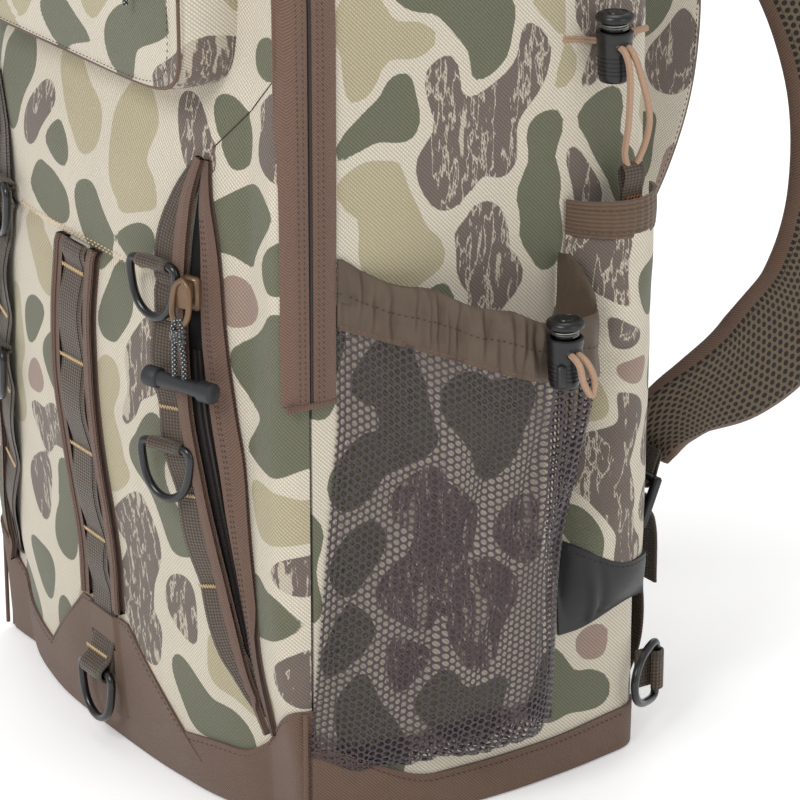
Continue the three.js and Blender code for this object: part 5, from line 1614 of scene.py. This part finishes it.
SLEEVE_FRONT, SLEEVE_BACK = 45, 95
ELASTIC_LOW, ELASTIC_HIGH = 275.2, 292
# the same on the right rod sleeve, as [across, up] points of the flat cloth
SLEEVE_PATCHES = [
    (BARK, [(22, 268), (36, 250)]), (OLIVE, [(64, 256)]), (BARK, [(38, 234)]), (PINK, [(44, 213)]),
    (OLIVE, [(65, 211)]), (BARK, [(40, 195), (33, 170), (27, 140), (45, 148), (46, 118)]),
    (BARK, [(66, 183), (66, 140)]), (OLIVE, [(22, 120)]), (KHAKI, [(66, 116)]),
    (KHAKI, [(15, 228), (18, 193)]),
]


def sleeve_out(u, v):
    return SLEEVE_BELLY * (SLEEVE_SLIM + 0.28 * v) * np.maximum(np.sin(math.pi * np.clip(u, 0, 1)), 0) ** 0.6


def build_rod_sleeve():
    """The camouflage sleeve and the ribbed elastic round its mouth."""
    u, v = np.linspace(0, 1, 60), np.linspace(0, 1, 90)
    gu, gv = grid_of(u, v)
    middle = np.sin(math.pi * gu) ** 0.8
    out = sleeve_out(gu, gv)
    out = (out + middle * (1.0 * np.sin(17 * gv + 5 * gu) + 0.7 * np.sin(31 * gv - 9 * gu + 1))
           * (0.4 + 0.6 * np.abs(2 * gv - 1)))
    out = (out - 1.8 * middle * np.exp(-((gv - 0.62 - 0.10 * gu) / 0.035) ** 2)
           - 1.5 * middle * np.exp(-((gv - 0.30 + 0.2 * gu) / 0.03) ** 2))
    grid = beside(out, lerp(SLEEVE_FRONT, SLEEVE_BACK, gu), lerp(guard_top(gu) - 1.5, 276.3, gv))
    seeds = scatter((-20, 90), (130, 300), 33, SLEEVE_PATCHES)
    flat = flat_of(grid) + [8, 111]
    left = scatter((-20, 90), (130, 300), 34)
    pieces = both_sides("rod_sleeve_camo", cloth(grid, 1.4, flat, inner=1), [CAMO, LINING], node="rod_sleeve",
                        slot="camo",
                        camo=(seeds, 6), camo_left=(left, 7))
    v = np.linspace(0, 1, 14)
    gu, gv = grid_of(u, v)
    out = (sleeve_out(gu, 1.0) + 0.7 + 0.35 * np.sin(70 * gu) * np.sin(math.pi * gu)
           + 0.8 * np.sin(math.pi * gv))
    z = lerp(ELASTIC_LOW, ELASTIC_HIGH, gv) + 1.6 * np.sin(math.pi * gu) * (gv - 0.4)
    band = beside(out, lerp(SLEEVE_FRONT - 0.6, SLEEVE_BACK + 0.6, gu), z)
    pieces = both_sides("sleeve_elastic", cloth(band, 1.5, inner=0), [ELASTIC], node="rod_sleeve_elastic",
                        slot="elastic")
    thread = Raw()
    for share in (0.16, 0.80):
        s = np.linspace(0.01, 0.99, 120)
        line = beside(sleeve_out(s, 1.0) + 2.3, lerp(SLEEVE_FRONT, SLEEVE_BACK, s),
                      lerp(ELASTIC_LOW, ELASTIC_HIGH, share) + 0 * s)
        thread.join(stitches(line, np.tile([0.9, -0.3, 0], (120, 1)), 3.0, 2.0, 0.5, 0.1))
    both_sides("sleeve_elastic_stitching", thread, [DARK_THREAD], body="pack", slot="elastic")


def guard_top(u):
    return 121 - 17 * u - 4 * np.sin(math.pi * u) ** 2


def guard_grid(lift):
    """The rod tip guard's cloth, that far outside its resting shape."""
    u, v = np.linspace(0, 1, 60), np.linspace(0, 1, 40)
    gu, gv = grid_of(u, v)
    out = SLEEVE_BELLY * SLEEVE_SLIM * (1 - (1 - gv) ** 2.4) * np.sin(math.pi * gu) ** 0.6 + lift
    pleat = np.exp(-((gu - 0.20 - 0.16 * (1 - gv)) / 0.045) ** 2)
    out = (out + 2.6 * pleat * (1 - gv)
           - 2.0 * np.exp(-((gu - 0.30 - 0.16 * (1 - gv)) / 0.04) ** 2) * (1 - gv * 0.6))
    top = guard_top(gu)
    low = 72 + 9 * smooth(gu, 0.15, 1.0)
    return beside(out, lerp(SLEEVE_FRONT - 1.5, SLEEVE_BACK + 1.5, gu), lerp(low, top, gv))


def build_guard():
    grid = guard_grid(0.9)
    pieces = both_sides("tip_guard_rubber", cloth(grid, 1.4, inner=0), [RUBBER], node="rod_tip_guard",
                        slot="guard")
    line = guard_grid(1.0)[2:-2, 36]
    thread = stitches(line, np.tile([1.0, -0.2, 0], (len(line), 1)), 3.0, 2.1, 0.6, 0.1)
    both_sides("tip_guard_stitching", thread, [DARK_THREAD], body="pack", slot="guard")


# ---- Cord locks --------------------------------------------------------------------------------------------
HOLE_Z = 17  # height of the cord hole in a lock's barrel


def lock_barrel():
    """A tapered barrel with a cord hole along X; its wall is open where the cords pass."""
    z = np.concatenate([[0, 0, 0.5, 1.4, 4, 8, 12], np.linspace(14.4, 19.6, 13),
                        [21, 22.6, 23.4, 24, 23.8, 23.0, 19.6, 19.6]])
    r = 6.9 + 1.4 * np.clip(z / 18, 0, 1) + 0.4 * smooth(z, 19.8, 20.6)
    r[:4] = [0.02, 5.9, 6.6, 6.95]
    r[-5] -= 0.7
    r[-4:] = [6.9, 6.7, 6.7, 0.02]
    a = np.linspace(0, 2 * math.pi, 73)[:-1]
    ga, gz = grid_of(a, z)
    gr = np.broadcast_to(r, ga.shape)
    p = np.stack([gr * np.cos(ga), gr * np.sin(ga), gz], axis=2)
    points = p.reshape(-1, 3)
    kept = []
    for face in quads(len(a), len(z), close_u=True):
        _, y, height = points[list(face)].mean(axis=0)
        if (y / 4.1) ** 2 + ((height - HOLE_Z) / 2.2) ** 2 > 1:
            kept.append(face)
    raw = Raw().add(points, kept)
    e = np.linspace(0, 2 * math.pi, 33)[:-1]
    for sign in (1, -1):
        ey, ez = 4.3 * np.cos(e), 2.3 * np.sin(e)
        ex = sign * np.sqrt(8.15 ** 2 - ey ** 2)
        raw.join(tube(np.stack([ex, ey, HOLE_Z + ez], axis=1), 0.55, 8, closed=True, ref=X_AXIS))
    xs = np.linspace(-7.0, 7.0, 12)
    gx, ge = grid_of(xs, e)
    lining = np.stack([gx, 4.2 * np.cos(ge), HOLE_Z + 2.2 * np.sin(ge)], axis=2)
    raw.join(Raw().add(lining.reshape(-1, 3), quads(len(xs), len(e), close_v=True)))
    for k in range(5):
        inner, outer, low = 7.05 + 0.09 * k * 1.6, 7.5 + 0.09 * k * 1.6, k * 2.0
        raw.join(turned([(inner, 3.0 + low), (outer, 3.5 + low), (outer, 4.1 + low), (inner, 4.6 + low)], 48))
    return raw


def lock_button():
    profile = [(0, 24.1), (5.4, 24.1), (5.4, 28.0), (7.6, 28.4), (8.8, 29.0), (9.0, 30.2), (8.6, 31.4),
               (7.4, 32.3), (6.2, 32.6), (5.9, 32.2), (3.6, 32.2), (3.3, 32.7), (0, 32.8)]
    raw = turned(profile, 48)
    a = np.linspace(0, 2 * math.pi * 2.5, 80)
    coil = np.stack([6.0 * np.cos(a), 6.0 * np.sin(a), 24.9 + 2.7 * a / a[-1]], axis=1)
    return raw.join(tube(coil, 0.45, 6), 1)


def build_locks():
    for name, at in LOCKS.items():
        barrel = placed(lock_barrel(), at)
        if name == "collar":
            plate = block((4.2, -8.2, 2.5), (7.4, -3.6, 12.5), 0.8)
            barrel.join(placed(plate, at), 1)
        both_sides(f"{name}_lock_body", barrel, [BLACK, GREY], node=f"{name}_lock_barrel", slot="plastic")
        both_sides(f"{name}_lock_cap", placed(lock_button(), at), [BLACK, STEEL], node=f"{name}_lock_button",
                   slot="plastic")


def build_end_tab():
    x0, y0 = LOCK_X + 1, 72.5
    run = [(-1.3, 281), (-1.2, 288), (-1.2, 295), (-2.6, 300), (-3.0, 304.5), (0, 308.4), (3.0, 304.5),
           (2.6, 300), (1.2, 295), (1.2, 288), (1.3, 281)]
    path = spline([(x0 + x, y0, z) for x, z in run], 70)
    raw = ribbon(path, Y_AXIS, flat_section(11.4, 1.2, -0.6))
    for z in (286, 292.5):
        raw.join(bar_tack(np.array([x0 + 1.9, y0, z]), Y_AXIS, X_AXIS, 9), 1)
    both_sides("bungee_tab_webbing", raw, [WEBBING, RUST_THREAD], node="bungee_end_tab", slot="webbing")


# ---- Back pad, straps and handle ---------------------------------------------------------------------------
PAD_HALF = 126
PAD_LOW, PAD_HIGH = 28, 424


def build_back_pad():
    """A crowned pad with one channel down its middle and three across, and the binding round it."""
    u, v = np.linspace(-1, 1, 120), np.linspace(0, 1, 170)
    gu, gv = grid_of(u, v)
    corner = np.clip((np.abs(gv - 0.5) - 0.44) / 0.06, 0, 1)
    x = gu * (PAD_HALF - 14 * (1 - np.sqrt(np.maximum(1 - corner ** 2, 0))))
    z = lerp(PAD_LOW, PAD_HIGH, gv)
    edge = np.minimum((1 - np.abs(gu)) * PAD_HALF, np.minimum(gv, 1 - gv) * (PAD_HIGH - PAD_LOW))
    puff = 3.4 + 9.6 * np.clip(edge / 17, 0, 1) ** 0.5
    channel = 8.2 * np.exp(-(x / 13) ** 2)
    for line in (120, 214, 308):
        bent = line + 0.10 * np.abs(x)
        channel = np.maximum(channel, 6.4 * np.exp(-((z - bent) / 4.0) ** 2) * (np.abs(x) > 10))
    y = BACK + 0.6 + np.clip(puff - channel * np.clip(edge / 12, 0, 1), 1.8, None)
    grid = np.stack([x, y, z], axis=2)
    pad = cloth(grid, 1.6, np.stack([x, z], axis=2), away=(0, 0, 225), inner=0)
    piece = make("back_pad_mesh", pad, [SPACER], node="back_pad", slot="padding")
    rim = np.concatenate([grid[:, 0], grid[-1], grid[::-1, -1], grid[0, ::-1]])
    path = even(np.stack([rim[:, 0] * 1.006, np.full(len(rim), BACK + 2.9), rim[:, 2]], axis=1), 420)[:-1]
    make("back_pad_binding", tube(path, 2.1, 10, closed=True, ref=Y_AXIS), [WEBBING], body="pack",
         slot="webbing")


YOKE_END = 0.3  # share of the strap's length that a brown yoke covers on the outer face
# the shoulder strap's middle and the direction of its width, from the top of the back to its lower end
STRAP_ROUTE = [
    ((44, 116, 428), (1, 0, 0)), ((47, 150, 440), (0.95, 0.15, 0.3)), ((56, 202, 424), (0.6, 0.45, 0.66)),
    ((66, 246, 376), (0.25, 0.78, 0.58)), ((78, 268, 306), (0.08, 1, 0.1)),
    ((86, 264, 236), (0.05, 0.92, -0.39)), ((91, 238, 186), (0.05, 0.5, -0.86)),
    ((95, 200, 163), (0.05, 0.3, -0.95)), ((98, 166, 154), (0.05, 0.26, -0.96)),
    ((101, 144, 146), (0.5, 0.4, -0.77)), ((103, 130, 132), (0.96, 0.1, -0.26)),
]


def build_straps():
    """Curved padded straps: spacer mesh inside, a brown yoke and camouflage outside, a webbing loop below."""
    both = spline([list(at) + [40 * s for s in side] for at, side in STRAP_ROUTE], 190)
    p, side = both[:, :3], unit(both[:, 3:])
    along = tangents(p)
    side = unit(side - along * np.sum(side * along, axis=1, keepdims=True))
    normal = np.cross(side, along)
    share = lengths(p) / lengths(p)[-1]
    width = lerp(66, 30, smooth(share, 0.78, 1.0))
    swell = 1 + 0.05 * np.sin(share * 46) * smooth(share, 0.05, 0.2)
    a = np.linspace(-1, 1, 31)
    half = 6.3 * (0.26 + 0.74 * np.clip((1 - np.abs(a)) / 0.24, 0, 1) ** 0.5)
    lip = np.array([[1.02, 0.0], [-1.02, 0.0]])
    section = np.vstack([np.stack([a, half], axis=1), lip[:1], np.stack([a[::-1], -half[::-1]], axis=1),
                         lip[1:]])
    n, m = len(p), len(section)
    fade = np.clip(np.minimum(share, 1 - share) / 0.02, 0.35, 1)
    points = p[:, None] + side[:, None] * section[None, :, :1] * width[:, None, None] / 2 \
        + normal[:, None] * section[None, :, 1:] * (fade * swell)[:, None, None]
    flat = np.stack(grid_of(lengths(p), section[:, 0] * 33), axis=2)[..., ::-1]
    faces, finish = [], []
    for i, f in enumerate(quads(n, m, close_v=True)):
        k = i % m
        mid = abs((section[k, 0] + section[(k + 1) % m, 0]) / 2)
        faces.append(f)
        outer = 1 if share[i // m] > YOKE_END else 2
        finish.append(2 if mid > 0.88 else (outer if k < len(a) else 0))
    faces += [tuple(range(m))[::-1], tuple(range((n - 1) * m, n * m))]
    finish += [2, 2]
    raw = Raw().add(points.reshape(-1, 3), faces, flat.reshape(-1, 2), finish)
    turnback = [(131, 137), (127.5, 129), (125.6, 123.6), (123.4, 121.4), (121.6, 120.6), (123.8, 119.0),
                (127.4, 121.4), (129.6, 127.6), (132, 135)]
    loop = spline([(103, y, z) for y, z in turnback], 50)
    raw.join(ribbon(loop, X_AXIS, flat_section(24, 1.4, -0.7)), 3)
    seeds = scatter((-50, -20), (50, float(lengths(p)[-1]) + 20), 41)
    pieces = both_sides("shoulder_strap_pad", raw, [SPACER, CAMO, BROWN, WEBBING], node="shoulder_strap",
                        slot="padding",
                        camo=(seeds, 11))
    thread = Raw()
    for edge in (-0.80, 0.80):
        for face in (1, -1):
            line = p + side * (edge * width / 2)[:, None] + normal * (face * 5.9 * fade * swell)[:, None]
            thread.join(stitches(even(line[6:-8], 170), even(normal[6:-8] * face, 170), 3.2, 2.2, 0.6, 0.1))
    both_sides("shoulder_strap_stitching", thread, [DARK_THREAD], body="pack", slot="padding")


def build_strap_webbing():
    """The lower webbing from the boot through the ladder lock, and the lock's frame."""
    route = [(118, BACK + 2.4, 24), (117, 110, 44), (112, 115, 66), (106, 114.2, 88), (104, 113.6, 102),
             (103, 116.5, 110.5), (103, 120, 108), (103, 126, 105), (103, 129, 96), (103, 130, 66)]
    raw = ribbon(spline(route, 110), X_AXIS, flat_section(25, 1.8, -0.9))
    raw.join(bar_tack(np.array([117.6, 109.6, 31]), X_AXIS, Y_AXIS, 20), 1)
    both_sides("adjuster_webbing", raw, [WEBBING, TAN_THREAD], node="strap_webbing", slot="webbing")
    ladder = Raw()
    for x in (-15.8, 15.8):
        ladder.join(block((x - 2.2, -2.5, -14), (x + 2.2, 2.5, 13), 1.2))
    for low, high in ((9, 13), (-1, 3), (-14, -10)):
        ladder.join(block((-15, -2.3, low), (15, 2.3, high), 1.2))
    both_sides("ladder_lock_frame", placed(ladder, (103, 122, 113), turn_x=-22), [BLACK], node="ladder_lock",
               slot="plastic")


def build_handle():
    """The grab handle: webbing arched over the top with a wrapped grip."""
    top = TOP + 1.0
    half = [(66, top), (56, top + 0.2), (46, top + 8), (30, top + 22), (0, top + 28)]
    route = [(-x, z) for x, z in half] + [(x, z) for x, z in half[-2::-1]]
    path = spline([(x, 46, z) for x, z in route], 120)
    across = np.tile([0, -1.0, 0], (len(path), 1))
    normal = unit(np.cross(tangents(path), across))
    normal = normal * np.sign(np.sum(normal * [0, 0, 1], axis=1, keepdims=True) + 1e-9)
    raw = sweep(path, across, normal, flat_section(25, 2.8))
    wrapped = np.abs(path[:, 0]) < 34
    raw.join(sweep(path[wrapped], across[wrapped], normal[wrapped], flat_section(27, 5.0, -1.1)), 1)
    for sign in (1, -1):
        for x in (51.5, 62):
            raw.join(bar_tack(np.array([sign * x, 46, top + 3.1]), Y_AXIS, UP, 20), 2)
    make("grab_handle_webbing", raw, [WEBBING, BROWN, TAN_THREAD], node="grab_handle", slot="webbing")


build_upper_pocket()
build_mesh_pocket()
build_collar()
build_rod_sleeve()
build_guard()
build_locks()
build_end_tab()
build_back_pad()
build_straps()
build_strap_webbing()
build_handle()


# ---- Studio ------------------------------------------------------------------------------------------------
def studio():
    """A plain pale floor, a white surround and four soft lights."""
    steps = np.linspace(-1, 1, 24) * 6000
    gx, gy = grid_of(steps, steps)
    floor = Raw().add(np.stack([gx, gy, np.full_like(gx, -0.6)], axis=2), quads(24, 24))
    s = Shader("studio_floor", 0.9)
    s.finish(s.shade((0.95, 0.95, 0.95, 1), s.noise(s.rest(), 3), 0.99, 1.0))
    s.bsdf.inputs["Emission Color"].default_value = (1, 1, 1, 1)
    s.bsdf.inputs["Emission Strength"].default_value = 0.22
    obj = bpy.data.objects.new("floor", mesh_of("floor", floor, [s.material]))
    bpy.context.scene.collection.objects.link(obj)
    world = bpy.data.worlds.new("studio")
    bpy.context.scene.world = world
    world.use_nodes = True
    background = world.node_tree.nodes["Background"]
    background.inputs["Color"].default_value = (1, 1, 1, 1)
    background.inputs["Strength"].default_value = 0.6
    for name, at, size, power in (("key", (0.9, -1.9, 1.9), 1.0, 30), ("fill", (2.2, 0.6, 1.1), 1.4, 9),
                                  ("top", (-0.4, 0.2, 2.4), 1.2, 15), ("rim", (-1.6, 1.5, 1.4), 1.2, 8)):
        data = bpy.data.lights.new(name, "AREA")
        data.size = size
        data.energy = power
        light = bpy.data.objects.new(name, data)
        light.location = at
        light.rotation_euler = (Vector((0, 0, 0.25)) - Vector(at)).to_track_quat("-Z", "Y").to_euler()
        bpy.context.scene.collection.objects.link(light)
    bpy.context.scene.view_settings.view_transform = "Standard"


studio()
